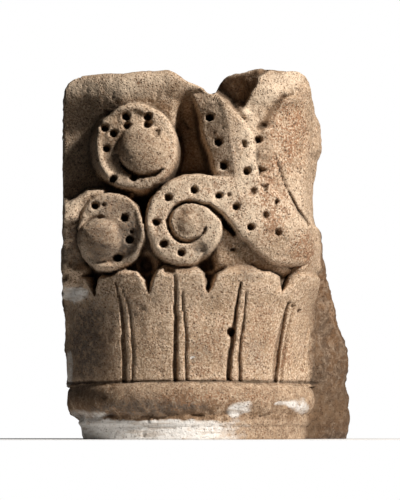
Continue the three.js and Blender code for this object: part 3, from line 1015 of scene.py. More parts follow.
@dataclass(frozen=True)
class Ribbons:
    """Two drilled ribbons that come down from the top and meet in a ridge."""

    ridge_x: Sequence[float] = (47, 44, 41, 37, 34)
    ridge_z: Sequence[float] = (240, 266, 292, 318, 345)
    left: Outline = Outline(
        ((-6, 356), (10, 323), (13, 303), (20, 280), (25, 258), (34, 238), (54, 238), (48, 262),
         (44, 290), (40, 318), (30, 350))
    )
    right: Outline = Outline(
        ((24, 346), (38, 334), (52, 318), (63, 302), (65, 280), (67, 252), (62, 232), (46, 236),
         (45, 262), (42, 290), (34, 318)),
        smooth=True,
    )
    edge: Channel = Channel(
        ((50, 322, 1.2), (60, 308, 2.2), (66, 282, 2.6), (68.5, 254, 2.2), (68, 240, 1.2))
    )
    edge_depth: float = 3.0
    lean: float = 0.56
    top_lean: float = 0.25
    lean_change: tuple[float, float] = (345.0, 305.0)
    ridge_depth: float = 1.0
    right_depth: float = 0.5

    def carve(self, relief: Relief) -> None:
        """Leaves both ribbons standing; the left one leans away from the light.

        Args:
            relief: the stone.
        """
        away = np.interp(relief.z, self.ridge_z, self.ridge_x) - relief.x_at(self.ridge_depth)
        lean = mix(self.top_lean, self.lean, ease(*self.lean_change, relief.z))
        slope = self.ridge_depth + np.clip(away, 0.0, 60.0) * lean
        relief.raise_to(self.left, slope, edge=3.0, steep=12.0)
        relief.raise_to(self.right, self.right_depth, edge=4.0, steep=8.0)
        relief.cut_by(self.edge, self.edge_depth, wall=1.6)


@dataclass(frozen=True)
class LeftSide:
    """The stem that comes in from the left, and the rough ground round the lower scroll."""

    ground: Outline = Outline(
        ((-175, 156), (-175, 224), (-104, 226), (-98, 206), (-104, 182), (-108, 168), (-114, 156))
    )
    ground_depth: float = 5.0
    ground_azimuth: float = -20.0
    stem: Outline = Outline(
        ((-175, 214), (-175, 238), (-128, 233), (-115, 238), (-100, 247), (-84, 248), (-76, 238),
         (-90, 226), (-106, 221), (-128, 217))
    )
    stem_depth: float = 1.5
    stem_azimuth: float = -4.0
    pivot_x: float = -90.0
    scroll_seat: Ellipse = Ellipse(-85.0, 196.0, 31.0, 33.0)
    seat_depth: float = 24.0
    dent: Ellipse = Ellipse(-119.0, 165.0, 8.5, 8.0)
    dent_depth: float = 11.0
    crease: Channel = Channel(((-106, 221, 3), (-98, 219, 4), (-88, 222, 3)))
    crease_depth: float = 4.0
    end_x: float = 133.0
    draw: float = 0.053
    skyline: Skyline = Skyline()

    def carve(self, relief: Relief) -> None:
        """Carves what lies left of and under the lower scroll.

        Args:
            relief: the stone.
        """
        ground_level = relief.turned(self.pivot_x, self.ground_depth, self.ground_azimuth)
        relief.raise_to(self.ground, ground_level, edge=5.0, steep=4.0)
        relief.lower_to(self.scroll_seat, self.seat_depth, steep=4.0)
        stem_level = relief.turned(self.pivot_x, self.stem_depth, self.stem_azimuth)
        relief.raise_to(self.stem, stem_level, edge=4.0, steep=4.0)
        relief.cut_by(self.dent, self.dent_depth, wall=4.0)
        relief.cut_by(self.crease, self.crease_depth, wall=3.0)
        broken = np.interp(relief.z, self.skyline.left_z, self.skyline.left_x) * relief.bell.scale
        relief.end_left(np.minimum(self.end_x, broken), self.draw)


@dataclass(frozen=True)
class Breaks:
    """The broken corner: a face that turns left beside the notch, a scar, a crack and dents."""

    face: Outline = Outline(
        ((14, 345), (24, 342), (33, 337), (42, 329), (48, 324), (55, 329), (59, 337), (61, 346),
         (66, 353), (68, 360), (82, 369), (100, 371), (100, 385), (10, 385))
    )
    face_edge: float = 68.0
    face_width: float = 44.0
    face_depth: float = 10.0
    face_steep: float = 5.0
    scar: Channel = Channel(
        ((69, 311, 9), (76, 317, 14), (80, 326, 12), (84, 336, 11), (91, 343, 9), (100, 346, 6))
    )
    scar_depth: float = 6.5
    hollow: Outline = Outline(
        ((76, 300), (82, 320), (90, 336), (106, 338), (116, 322), (118, 290), (96, 282)), smooth=True
    )
    hollow_depth: float = 2.6
    dent: Ellipse = Ellipse(71.0, 313.0, 5.5, 4.5)
    dent_depth: float = 5.0
    knob: Ellipse = Ellipse(54.0, 324.5, 4.5, 4.0)
    knob_depth: float = 3.0
    crack: Channel = Channel(
        ((82, 286, 1.6), (89, 268, 2.4), (93, 256, 2.2), (98, 246, 3.0), (106, 231, 3.4),
         (114, 224, 3.6), (124, 217, 3.4))
    )
    crack_depth: float = 6.0
    nicks: Sequence[Outline] = (
        Outline(((65, 274), (77, 269), (67, 262))),
        Outline(((69, 253), (79, 256), (71, 244))),
        Outline(((84, 241), (81, 238), (82, 228), (87, 238))),
        Outline(((-9, 324), (-5, 322), (2, 312), (-2, 313))),
    )
    nick_depth: float = 7.0

    def turn_face(self, relief: Relief) -> None:
        """Cuts the face beside the notch, deeper towards the left.

        Args:
            relief: the stone.
        """
        x = relief.x_at(0.0)
        inside = self.face.inside(x + 2.0 * relief.waver_x, relief.z + relief.waver_z)
        turned = np.clip(self.face_edge - x, 0.0, self.face_width) + self.face_depth
        cut = np.minimum(turned, inside * self.face_steep)
        broken = relief.in_front & (inside > 0.0)
        relief.depth = np.where(broken, np.maximum(relief.depth, cut), relief.depth)

    def carve(self, relief: Relief) -> None:
        """Cuts the breaks.

        Args:
            relief: the stone.
        """
        self.turn_face(relief)
        relief.cut_by(self.scar, self.scar_depth, wall=5.0)
        relief.cut_by(self.hollow, self.hollow_depth, wall=6.0)
        relief.cut_by(self.dent, self.dent_depth, wall=3.5)
        relief.raise_to(self.knob, self.knob_depth, edge=4.0, steep=2.0)
        relief.cut_by(self.crack, self.crack_depth, wall=1.6)
        for nick in self.nicks:
            relief.cut_by(nick, self.nick_depth, wall=2.0)


@dataclass(frozen=True)
class Pockets:
    """The deep pockets between the scrolls and the notches between the leaves."""

    left: Ellipse = Ellipse(-43.0, 176.0, 8.0, 10.0)
    left_depth: float = 14.0
    right: Ellipse = Ellipse(17.0, 176.0, 9.0, 8.0)
    right_depth: float = 10.0
    notches: Sequence[Outline] = (
        Outline(((-104, 172), (-98, 156), (-94, 143), (-91, 156), (-86, 170))),
        Outline(((-48, 176), (-43, 156), (-40, 144), (-37, 156), (-33, 176))),
        Outline(((11, 170), (14, 156), (17, 145), (21, 153), (26, 168))),
    )
    notch_depth: float = 30.0

    def carve(self, relief: Relief) -> None:
        """Cuts the pockets and notches.

        Args:
            relief: the stone.
        """
        relief.cut_by(self.left, self.left_depth, wall=4.0)
        relief.cut_by(self.right, self.right_depth, wall=4.0)
        for notch in self.notches:
            relief.lower_to(notch, self.notch_depth, steep=9.0)


@dataclass(frozen=True)
class DrillHoles:
    """The holes that follow the scrolls, stem and ribbons, from a seven millimetre drill."""

    radius: float = 3.9
    depth: float = 14.0
    wall: float = 1.5
    worn_depth: float = 6.0
    worn_wall: float = 2.0
    small_radius: float = 2.4
    small_depth: float = 5.0
    small_wall: float = 1.4
    holes: Sequence[tuple[float, float]] = (
        (-63, 322), (-62, 313), (-41, 322), (-42, 314), (-83, 311), (-74, 305), (-82, 290),
        (-75, 260), (-55, 260), (-92, 232), (-63.5, 220.5), (-59, 199), (-71, 181.5),
        (-21, 241), (4, 248), (-33, 215), (-26, 194.5), (-8, 185), (27.5, 242.5), (44, 232),
        (59, 211), (20.5, 321), (28.5, 297), (32.5, 272.5), (55.5, 267), (68, 299), (39.5, 107),
    )
    worn: Sequence[tuple[float, float]] = ((-33, 305), (52, 293.5), (61, 246), (73, 223), (86, 206))
    small: Sequence[tuple[float, float]] = (
        (-84, 233), (-57, 206), (-49, 258), (37, 243), (43, 190), (104, 135), (112, 131), (16, 152),
    )

    def carve(self, relief: Relief) -> None:
        """Drills the holes.

        Args:
            relief: the stone.
        """
        for x, z in self.holes:
            relief.cut_by(Ellipse(x, z, self.radius, self.radius), self.depth, self.wall)
        for x, z in self.worn:
            hole = Ellipse(x, z, self.radius, self.radius + 0.5)
            relief.cut_by(hole, self.worn_depth, self.worn_wall)
        for x, z in self.small:
            hole = Ellipse(x, z, self.small_radius, self.small_radius)
            relief.cut_by(hole, self.small_depth, self.small_wall)


# Soft patches on the front: each has an outline, the width over which it fades and a strength
PATCHES: dict[Mark, Sequence[tuple[Shape, float, float]]] = {
    # Grey patina; on the shaded left end of the leaves and round the lower scroll it also paints shade
    Mark.GREY: (
        (Ellipse(-57, 202, 12, 26), 5.0, 1.0), (Ellipse(-86, 184, 22, 10), 6.0, 0.8),
        (Ellipse(-75, 232, 20, 9), 6.0, 0.5), (Ellipse(-105, 135, 28, 20), 10.0, 0.55),
        (Ellipse(-112, 85, 22, 35), 12.0, 0.6), (Ellipse(-120, 195, 14, 20), 6.0, 0.7),
        (Ellipse(12, 186, 9, 8), 4.0, 0.8), (Ellipse(27, 298, 17, 36), 9.0, 0.2),
        (Ellipse(12, 165, 9, 6), 4.0, 0.5), (Ellipse(58, 165, 12, 8), 5.0, 0.45),
        (Ellipse(8, 85, 10, 12), 6.0, 0.35), (Ellipse(-60, 130, 9, 12), 6.0, 0.4),
        (Ellipse(-40, 32, 56, 7), 6.0, 0.9), (Ellipse(-86, 210, 14, 18), 8.0, 0.5),
        (Ellipse(-50, 258, 22, 8), 6.0, 0.6), (Ellipse(-100, 100, 24, 30), 12.0, 0.5),
        (Ellipse(66, 84, 10, 20), 8.0, 0.3),
    ),
    Mark.LIME: (
        (Ellipse(46, 30, 8, 9), 6.0, 0.95), (Ellipse(59, 31, 5, 7), 5.0, 0.75),
        (Ellipse(92, 36, 11, 4), 4.0, 0.75), (Ellipse(110, 32, 10, 8), 6.0, 0.8),
        (Ellipse(-108, 25, 22, 9), 7.0, 0.8), (Ellipse(3, 81, 3, 2.5), 2.5, 0.8),
        (Ellipse(-64, 26, 26, 6), 6.0, 0.5), (Ellipse(20, 26, 22, 4), 5.0, 0.35),
        (Ellipse(54, 305, 6, 6), 5.0, 0.5), (Ellipse(-50, 115, 7, 4), 4.0, 0.25),
        (Ellipse(26, 190, 9, 10), 5.0, 0.3), (Ellipse(-116, 149, 16, 9), 6.0, 0.85),
        (Ellipse(-126, 66, 5, 26), 4.0, 0.7), (Ellipse(-104, 132, 24, 14), 10.0, 0.45),
    ),
    Mark.PALE: (
        (Ellipse(-6, 216, 36, 42), 6.0, 0.95), (Ellipse(58, 270, 12, 50), 7.0, 1.0),
        (Ellipse(-60, 352, 66, 12), 8.0, 0.95), (Ellipse(-106, 226, 22, 12), 6.0, 0.8),
        (Ellipse(44, 226, 46, 26), 12.0, 0.8), (Ellipse(-60, 288, 40, 44), 8.0, 0.35),
        (Channel(((56, 326, 12), (72, 341, 16), (86, 357, 16), (106, 365, 12))), 5.0, 0.9),
        (Ellipse(104, 225, 18, 34), 12.0, 0.6), (Ellipse(24, 290, 16, 60), 8.0, 0.6),
    ),
    Mark.STAIN: (
        (Ellipse(82, 240, 20, 44), 14.0, 0.8), (Ellipse(100, 310, 24, 34), 12.0, 0.85),
        (Ellipse(92, 80, 9, 16), 8.0, 0.6), (Ellipse(-20, 30, 40, 8), 10.0, 0.6),
        (Ellipse(112, 190, 16, 24), 10.0, 0.8), (Ellipse(20, 40, 60, 9), 8.0, 0.7),
        (Ellipse(40, 100, 60, 45), 30.0, 0.4), (Ellipse(0, 240, 60, 60), 30.0, 0.35),
    ),
    # Soil; on the shaded left end of the leaves and roll, the broken face beside the notch and the
    # scar's groove it also paints shade
    Mark.SOIL_AND_SHADE: (
        (Ellipse(44, 346, 20, 20), 4.0, 0.8), (Ellipse(78, 368, 16, 4), 2.5, 0.9),
        (Ellipse(8, 296, 16, 36), 9.0, 0.5), (Ellipse(-100, 85, 26, 44), 14.0, 0.75),
        (Ellipse(128, 120, 14, 40), 10.0, 0.4), (Ellipse(72, 290, 6, 30), 4.0, 0.5),
        (Ellipse(48, 171, 26, 6), 5.0, 0.5), (Ellipse(-10, 171, 22, 6), 5.0, 0.45),
        (Ellipse(-104, 46, 34, 9), 8.0, 0.9), (Ellipse(26, 346, 8, 16), 5.0, 0.5),
        (Ellipse(-44, 289, 22, 22), 6.0, 0.45), (Ellipse(-88, 199, 18, 18), 6.0, 0.5),
        (Ellipse(-30, 350, 18, 9), 6.0, 0.5), (Ellipse(-96, 344, 18, 9), 7.0, 0.4),
        (Ellipse(-12, 346, 8, 14), 5.0, 0.7), (Ellipse(-66, 362, 14, 5), 4.0, 0.4),
        (Ellipse(-76, 304, 16, 28), 6.0, 0.7), (Ellipse(-60, 256, 26, 9), 5.0, 0.6),
        (Ellipse(24, 318, 14, 26), 8.0, 0.45), (Ellipse(-47, 126, 9, 9), 6.0, 0.45),
        (Ellipse(-44, 96, 12, 16), 8.0, 0.3), (Ellipse(24, 88, 14, 20), 8.0, 0.3),
        (Ellipse(72, 108, 12, 24), 9.0, 0.25), (Ellipse(-22, 72, 12, 10), 7.0, 0.3),
        (Ellipse(-2, 215, 15, 16), 5.0, 0.7), (Ellipse(-50, 22, 90, 5), 4.0, 0.5),
        # The scar's groove: soil and painted shade
        (Channel(((69, 311, 6), (75, 317, 7), (79, 325, 6), (83, 334, 6), (88, 341, 6),
                  (97, 345, 4))), 2.5, 0.9),
    ),
    # Painted shade: the shaded left end of the leaves and roll, the roll's lower half, the bed under it
    # and the right of the lower scroll's band
    Mark.HOLLOW_SHADE: (
        (Ellipse(-104, 92, 22, 30), 14.0, 0.35), (Ellipse(-106, 44, 26, 9), 7.0, 0.85),
        (Ellipse(80, 12, 50, 12), 6.0, 0.22), (Ellipse(0, 38, 90, 14), 10.0, 0.14),
        (Ellipse(-60, 208, 14, 30), 6.0, 0.25),
    ),
    Mark.ROUGH: (
        (Ellipse(92, 300, 40, 55), 10.0, 0.75), (Ellipse(96, 200, 30, 28), 12.0, 0.3),
        (Ellipse(-118, 195, 18, 26), 8.0, 0.8), (Ellipse(-104, 138, 34, 17), 8.0, 0.7),
        (Ellipse(0, 26, 130, 9), 5.0, 0.45), (Ellipse(-100, 30, 34, 10), 6.0, 0.5),
    ),
}


@dataclass(frozen=True)
class Wear:
    """Chips on the roll, each with x, z, half its width and height and a depth, and soft marks."""

    chips: Sequence[tuple[float, float, float, float, float]] = (
        (-77, 25, 5.5, 4.0, 5.0), (-112, 22, 7.0, 5.0, 5.0), (-66, 23, 3.5, 2.5, 3.0),
        (36, 27, 4.0, 3.0, 2.5), (-22, 28, 6.0, 3.0, 2.0), (60, 30, 5.0, 4.0, 2.0),
        (-40, 24, 4.5, 3.0, 2.5), (8, 24, 7.0, 3.0, 2.5), (88, 33, 4.0, 5.0, 2.0),
        (-94, 22, 9.0, 5.0, 4.0), (-30, 22, 8.0, 3.0, 3.0), (72, 23, 7.0, 3.0, 3.0),
    )
    chip_wall: float = 3.5
    bed_edge: tuple[float, float] = (22.5, 17.5)
    bed_lime: float = 0.35
    bed_soil: float = 0.6
    bed_end: float = 90.0
    roll_edge: tuple[float, float] = (60.0, 55.0)
    roll_under: tuple[float, float] = (42.0, 28.0)
    roll_soil: float = 0.55
    under_soil_and_shade: float = 0.35

    def weather_bed(self, relief: Relief) -> None:
        """Limes the bed, more to the left, and soils its right end and the roll, whose lower half is
        darker still, as soil and painted shade.

        Args:
            relief: the stone.
        """
        x = relief.x_at(0.0)
        bed = ease(*self.bed_edge, relief.z + 2.5 * relief.waver_z)
        lime = bed * mix(1.0, self.bed_lime, ease(-10.0, self.bed_end, x))
        soil = bed * self.bed_soil * ease(0.0, self.bed_end, x)
        relief.mark(Mark.LIME, np.where(relief.in_front, lime, 0.0))
        relief.mark(Mark.SOIL_AND_SHADE, np.where(relief.in_front, soil, 0.0))
        # Soil over the roll; on its lower half also painted shade
        roll = ease(*self.roll_edge, relief.z) * (1.0 - bed)
        under = self.under_soil_and_shade * ease(*self.roll_under, relief.z)
        relief.mark(Mark.SOIL_AND_SHADE, roll * (self.roll_soil + under))

    def carve(self, relief: Relief) -> None:
        """Cuts the chips and marks the stained, grey, limed and rough places and the patches of painted
        shade.

        Args:
            relief: the stone.
        """
        for x, z, across, tall, amount in self.chips:
            relief.cut_by(Ellipse(x, z, across, tall), amount, self.chip_wall)
        for mark, patches in PATCHES.items():
            for patch, soft, strength in patches:
                relief.mark_patch(mark, patch, soft, strength)
        self.weather_bed(relief)


# In the carver's order: what comes later cuts into what stands, or stands in front of it
CARVING = (
    Ground(), Leaves(), *RIBS, LeafFeet(), Stem(), Whorl(), LeftSide(), LOWER_SCROLL, UPPER_SCROLL,
    Ribbons(), Breaks(), Pockets(), DrillHoles(), Wear(),
)


# The stone


@dataclass(frozen=True)
class Hewing:
    """Where the stone is hewn rough: behind a ragged line on the sides, and on the right flank."""

    ragged: Lumps = Lumps(22.0, 40.0, seed=31, layers=3)
    line_y: tuple[float, float] = (-14.0, 10.0)
    flank_x: tuple[float, float] = (122.0, 128.0)
    flank_y: tuple[float, float] = (-30.0, -18.0)
    flank_z: tuple[float, float] = (245.0, 225.0)
    shade_and_dirt: float = 0.45
    shade_and_dirt_z: tuple[float, float] = (120.0, 30.0)

    def mark(self, relief: Relief) -> None:
        """Marks what is hewn, and paints it darker towards its foot, as dirt and shade.

        Args:
            relief: the carved stone.
        """
        x = relief.dressed * np.sin(relief.angle)
        y = -relief.dressed * np.cos(relief.angle)
        places = np.stack([x, y, relief.z], axis=-1)
        behind = ease(*self.line_y, y + self.ragged.at(places))
        flank = ease(*self.flank_x, x) * ease(*self.flank_z, relief.z) * ease(*self.flank_y, y)
        hewn = np.maximum(behind, flank)
        relief.mark(Mark.HEWN, hewn)
        relief.mark(Mark.ROUGH, hewn)
        # Dirt and painted shade: hewn faces darker towards the foot
        relief.mark(Mark.HOLLOW_SHADE, self.shade_and_dirt * hewn * ease(*self.shade_and_dirt_z, relief.z))


@dataclass(frozen=True)
class Hollows:
    """Where the carving is lower and where it is higher than what lies round it; the lower places get
    painted shade.
    """

    near_passes: int = 10
    wide_passes: int = 60
    hollow_over: float = 6.0
    proud_over: float = 4.0
    sunk_from: float = 5.0
    sunk_over: float = 22.0

    def mark(self, relief: Relief) -> None:
        """Marks the hollows for painted shade, and what stands proud.

        Args:
            relief: the carved stone.
        """
        near = self.smoothed(relief.depth, self.near_passes)
        wide = self.smoothed(near, self.wide_passes)
        below = relief.depth - near
        sunk = np.clip((relief.depth - wide - self.sunk_from) / self.sunk_over, 0.0, 1.0)
        hollow = np.clip(below / self.hollow_over, 0.0, 1.0)
        # Painted shade: the further below its neighbours, the darker
        relief.mark(Mark.HOLLOW_SHADE, np.maximum(hollow, sunk))
        relief.mark(Mark.PROUD, np.clip(-below / self.proud_over, 0.0, 1.0))

    def smoothed(self, values: Array, times: int) -> Array:
        """Values on the grid, smoothed a number of times with their neighbours.

        Args:
            values: one value for each place of the grid.
            times: how often.

        Returns:
            The smoothed values.
        """
        smooth = values
        for _ in range(times):
            smooth = (smooth + np.roll(smooth, 1, 1) + np.roll(smooth, -1, 1)) / 3.0
            padded = np.pad(smooth, ((1, 1), (0, 0)), mode="edge")
            smooth = (padded[:-2] + padded[1:-1] + padded[2:]) / 3.0
        return smooth


@dataclass(frozen=True)
class Weathering:
    """How weather, tools and breaks have moved the surface."""

    wave: Lumps = Lumps(0.8, 26.0, seed=3, layers=2)
    skin: Lumps = Lumps(0.36, 8.0, seed=7, layers=2)
    grit: Lumps = Lumps(0.2, 2.4, seed=11)
    broken: Lumps = Lumps(2.4, 22.0, seed=15, layers=3)
    chipped: Lumps = Lumps(1.0, 4.2, seed=19)
    pits: Lumps = Lumps(1.0, 4.4, seed=23)
    pit_range: tuple[float, float] = (0.40, 0.5)
    pit_round: float = 1.5
    pit_depth: float = 1.3
    rough_pit: float = 1.5
    holes: Lumps = Lumps(1.0, 9.0, seed=27)
    hole_range: tuple[float, float] = (0.5, 0.4)
    hole_depth: float = 2.4
    bed_calm: float = 3.0
    least_z: float = 0.2

    def above(self, values: Array, start: float, over: float) -> Array:
        """How far values rise above a start, from 0 to 1 over a range."""
        return np.clip((values - start) / over, 0.0, 1.0)

    def moved(self, places: Array, normals: Array, rough: Array) -> Array:
        """Points moved by lumps, tool marks, erosion and pits. The bed stays flat.

        Args:
            places: points in mm.
            normals: their normals.
            rough: how rough the stone is at each point.

        Returns:
            The moved points, in mm.
        """
        worn = self.wave.at(places) + self.skin.at(places) + self.grit.at(places)
        broken = self.broken.at(places) + self.chipped.at(places)
        pits = self.above(self.pits.at(places), *self.pit_range) ** self.pit_round
        holes = self.above(self.holes.at(places), *self.hole_range)
        pitted = (self.pit_depth + self.rough_pit * rough) * pits + rough * self.hole_depth * holes
        amount = worn + rough * broken - pitted
        calm = ease(0.0, self.bed_calm, places[:, 2])
        moved = places + normals * (amount * calm)[:, None]
        on_bed = places[:, 2] < 1e-6
        moved[:, 2] = np.where(on_bed, 0.0, np.maximum(moved[:, 2], self.least_z))
        return moved


@dataclass
class Capital:
    """The carved block, as one closed mesh."""

    bell: Bell = field(default_factory=Bell)
    astragal: Astragal = field(default_factory=Astragal)
    flank: Flank = field(default_factory=Flank)
    skyline: Skyline = field(default_factory=Skyline)
    hollows: Hollows = field(default_factory=Hollows)
    hewing: Hewing = field(default_factory=Hewing)
    weathering: Weathering = field(default_factory=Weathering)
    back_y: float = 110.0
    back_blend: float = 5.0
    back_inset: float = 1.0
    row_bands: Sequence[tuple[float, float, float]] = ((0, 51, 1.5), (51, 60, 0.9), (60, 139, 1.7))
    scroll_rows: tuple[float, float, int] = (140, 370, 166)
    front_step: float = 1.49
    side_step: float = 3.4
    back_step: float = 9.0
    step_z: float = 120.0
    step_samples: int = 7201
    top_from: float = 300.0
    top_z: float = 345.0
    waver_x: Lumps = Lumps(1.1, 17.0, seed=41, layers=2)
    waver_z: Lumps = Lumps(1.1, 17.0, seed=47, layers=2)
    top_round: float = 9.0
    broken_round: float = 3.0
    round_change: tuple[float, float] = (10.0, -40.0)
    cap_rings: int = 20
    cap_gather: float = 1.25
    notch_x: float = 24.0
    cap_y: float = 2.0
    bed_y: float = 10.0
    cap_marks: Sequence[tuple[Mark, float]] = ((Mark.HEWN, 0.75), (Mark.ROUGH, 1.0))

    @property
    def cap_x(self) -> float:
        """Where the cap's rings meet, at the notch."""
        return self.bell.axis_x + self.notch_x * self.bell.scale

    def rows(self) -> Array:
        """Heights of the grid's rows: closest where the carving is finest.

        Returns:
            Heights in mm, from the bed to the top.
        """
        bands = [np.arange(*band) for band in self.row_bands]
        return np.concatenate([*bands, np.linspace(*self.scroll_rows)])

    def outer_reach(self, angle: Array, z: Array) -> Array:
        """The whole block's dressed reach, on every side.

        Args:
            angle: angles from the front, in radians.
            z: heights in mm.

        Returns:
            Distances from the bell's axis, in mm.
        """
        foot = self.astragal.leaf_foot
        in_front = np.cos(angle) >= 0.0
        sine = np.maximum(np.abs(np.sin(angle)), TINY)
        cosine = np.maximum(-np.cos(angle), TINY)
        slab = self.bell.side_at(z) / sine
        upper = np.where(in_front, self.bell.reach(angle, z), slab)
        upper = upper * ease(foot - 1.0, foot + 1.0, z)
        reach = np.maximum(upper, self.astragal.reach(angle, z))
        flank = np.where(np.sin(angle) > 0.0, self.flank.reach(self.bell, angle, z), 0.0)
        reach = np.maximum(reach, flank)
        reach = np.minimum(reach, self.skyline.limit(angle, z, self.bell.scale))
        back = np.where(in_front, 1e4, (self.back_y - self.bell.axis_y) / cosine)
        return soft_min(reach, back, self.back_blend) - np.where(in_front, 0.0, self.back_inset)

    def columns(self) -> Array:
        """Angles of the grid's columns, even along the outline of each stretch.

        Returns:
            Angles from the front, rising from -pi to pi.
        """
        fine = np.linspace(-math.pi, math.pi, self.step_samples)
        reach = self.outer_reach(fine, np.full(fine.shape, self.step_z))
        x, y = reach * np.sin(fine), -reach * np.cos(fine)
        step = np.hypot(np.diff(x), np.diff(y))
        middle = (fine[1:] + fine[:-1]) / 2.0
        span = np.full(middle.shape, self.front_step)
        span[np.abs(middle) > math.pi / 2.0] = self.side_step
        wall = y[1:] > self.back_y - self.bell.axis_y - 3.0
        span[wall] = self.back_step
        wanted = np.concatenate([[0.0], np.cumsum(step / span)])
        count = int(round(wanted[-1]))
        return np.interp(np.arange(count) * wanted[-1] / count, wanted, fine)

    def relief(self) -> Relief:
        """The dressed grid, before it is carved.

        Returns:
            The stone with nothing cut.
        """
        angle, z = np.meshgrid(self.columns(), self.rows())
        x = self.bell.reach(angle, np.full(z.shape, self.top_z)) * np.sin(angle) / self.bell.scale
        top = self.skyline.top(x)
        share = (z - self.top_from) / (z[-1, 0] - self.top_from)
        z = np.where(share > 0.0, mix(self.top_from, top, share), z)
        dressed = self.outer_reach(angle, z)
        places = np.stack([x, np.zeros(x.shape), z], axis=-1)
        waver = self.waver_x.at(places), self.waver_z.at(places)
        return Relief(self.bell, angle, z, top, dressed, np.zeros(z.shape), *waver)

    def carved_points(self, relief: Relief) -> Array:
        """Places of the grid's points after carving.

        Args:
            relief: the carved stone.

        Returns:
            Points in mm, rows by columns by 3.
        """
        change = ease(*self.round_change, relief.x_at(0.0))
        radius = mix(self.broken_round, self.top_round, change)
        share = np.clip(1.0 - (relief.top - relief.z) / radius, 0.0, 1.0)
        rounding = radius * (1.0 - np.sqrt(np.maximum(1.0 - share**2, 0.0)))
        x, y = relief.place(relief.depth + rounding)
        return np.stack([self.bell.axis_x + x, self.bell.axis_y - y, relief.z], axis=-1)

    def cap_points(self, rim: Array) -> Array:
        """Rings of points that close the broken top, around a line down the notch.

        Args:
            rim: the grid's top row.

        Returns:
            Points in mm, rings by columns by 3.
        """
        rings = []
        for ring in range(1, self.cap_rings):
            share = 1.0 - (1.0 - ring / self.cap_rings) ** self.cap_gather
            x = mix(rim[:, 0], self.cap_x, share)
            y = mix(rim[:, 1], self.cap_y, share)
            drawn = (x - self.bell.axis_x) / self.bell.scale
            z = mix(rim[:, 2], self.skyline.top(drawn), min(1.0, ring / 2.0))
            rings.append(np.stack([x, y, z], axis=-1))
        return np.stack(rings)

    def marks(self, relief: Relief, count: int) -> dict[Mark, Array]:
        """The finish's weights, one for each point of the mesh.

        Args:
            relief: the carved stone.
            count: how many points the cap adds.

        Returns:
            Each mark's weights.
        """
        self.hollows.mark(relief)
        self.hewing.mark(relief)
        cap = dict(self.cap_marks)
        made = {}
        for mark in Mark:
            grid = relief.marks.get(mark, np.zeros(relief.z.shape))
            made[mark] = np.concatenate([grid.ravel(), np.full(count, cap.get(mark, 0.0))])
        return made

    def faces(self, rows: int, columns: int) -> list[tuple[int, ...]]:
        """The mesh's faces: the grid, the cap's rings, its middle and the bed.

        Args:
            rows: rows of points, the cap's rings among them.
            columns: points in a row.

        Returns:
            Quads and triangles, facing out.
        """
        index = np.arange(rows * columns).reshape(rows, columns)
        after = np.roll(index, -1, 1)
        quads = np.stack([index[:-1], after[:-1], after[1:], index[1:]], axis=-1).reshape(-1, 4)
        made = [tuple(quad) for quad in quads.tolist()]
        top, bed = rows * columns, rows * columns + 1
        last = index[-1].tolist()
        first = index[0].tolist()
        for a, b in zip(last, last[1:] + last[:1]):
            made.append((a, b, top))
        for a, b in zip(first, first[1:] + first[:1]):
            made.append((b, a, bed))
        return made

    def build(self) -> bpy.types.Object:
        """Carves and weathers the block.

        Returns:
            The capital's mesh object, in metres.
        """
        relief = self.relief()
        for carver in CARVING:
            carver.carve(relief)
            log.info("carved %s", type(carver).__name__)
        grid = self.carved_points(relief)
        cap = self.cap_points(grid[-1])
        cap_middle = (self.cap_x, self.cap_y, self.skyline.top(self.notch_x))
        bed_middle = (0.0, self.bed_y, 0.0)
        middles = np.array([cap_middle, bed_middle])
        places = np.concatenate([grid.reshape(-1, 3), cap.reshape(-1, 3), middles])
        faces = self.faces(grid.shape[0] + cap.shape[0], grid.shape[1])
        mesh = bpy.data.meshes.new("capital_stone")
        mesh.from_pydata((places * MM).tolist(), [], faces)
        mesh.update()
        marks = self.marks(relief, len(places) - grid.shape[0] * grid.shape[1])
        normals = np.empty(len(places) * 3)
        mesh.vertex_normals.foreach_get("vector", normals)
        moved = self.weathering.moved(places, normals.reshape(-1, 3), marks[Mark.ROUGH])
        mesh.vertices.foreach_set("co", (moved * MM).ravel())
        for mark, weights in marks.items():
            layer = mesh.attributes.new(mark.value, "FLOAT", "POINT")
            layer.data.foreach_set("value", weights.astype(np.float32))
        mesh.polygons.foreach_set("use_smooth", [True] * len(mesh.polygons))
        mesh.update()
        stone = bpy.data.objects.new("capital_stone", mesh)
        bpy.context.scene.collection.objects.link(stone)
        return stone

    def dress(self, stone: bpy.types.Object, finish: "Limestone") -> None:
        """Gives the stone its finish and its place in the frame.

        Args:
            stone: the capital's mesh object.
            finish: the limestone.
        """
        stone.data.materials.append(finish.material())
        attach(stone, "root")
        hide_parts("capital")


# Shader sums


class Term:
    """A number or colour that varies over a surface, with Python's operators on it."""

    def __init__(self, shader: "Shader", socket: bpy.types.NodeSocket) -> None:
        """Wraps a socket of a shader."""
        self.shader = shader
        self.socket = socket

    def _math(self, operation: str, first: Any, second: Any) -> "Term":
        """A Math node on two values."""
        return self.shader.node("ShaderNodeMath", {"operation": operation}, {0: first, 1: second})

    def __add__(self, other: Any) -> "Term":
        """The sum."""
        return self._math("ADD", self, other)

    __radd__ = __add__

    def __sub__(self, other: Any) -> "Term":
        """The difference."""
        return self._math("SUBTRACT", self, other)

    def __rsub__(self, other: Any) -> "Term":
        """The difference from a number."""
        return self._math("SUBTRACT", other, self)

    def __mul__(self, other: Any) -> "Term":
        """The product."""
        return self._math("MULTIPLY", self, other)

    __rmul__ = __mul__

    def step(self, low: float, high: float) -> "Term":
        """A smooth step from 0 at low to 1 at high."""
        ends = {"From Min": low, "From Max": high, "Value": self}
        return self.shader.node("ShaderNodeMapRange", {"interpolation_type": "SMOOTHSTEP"}, ends)


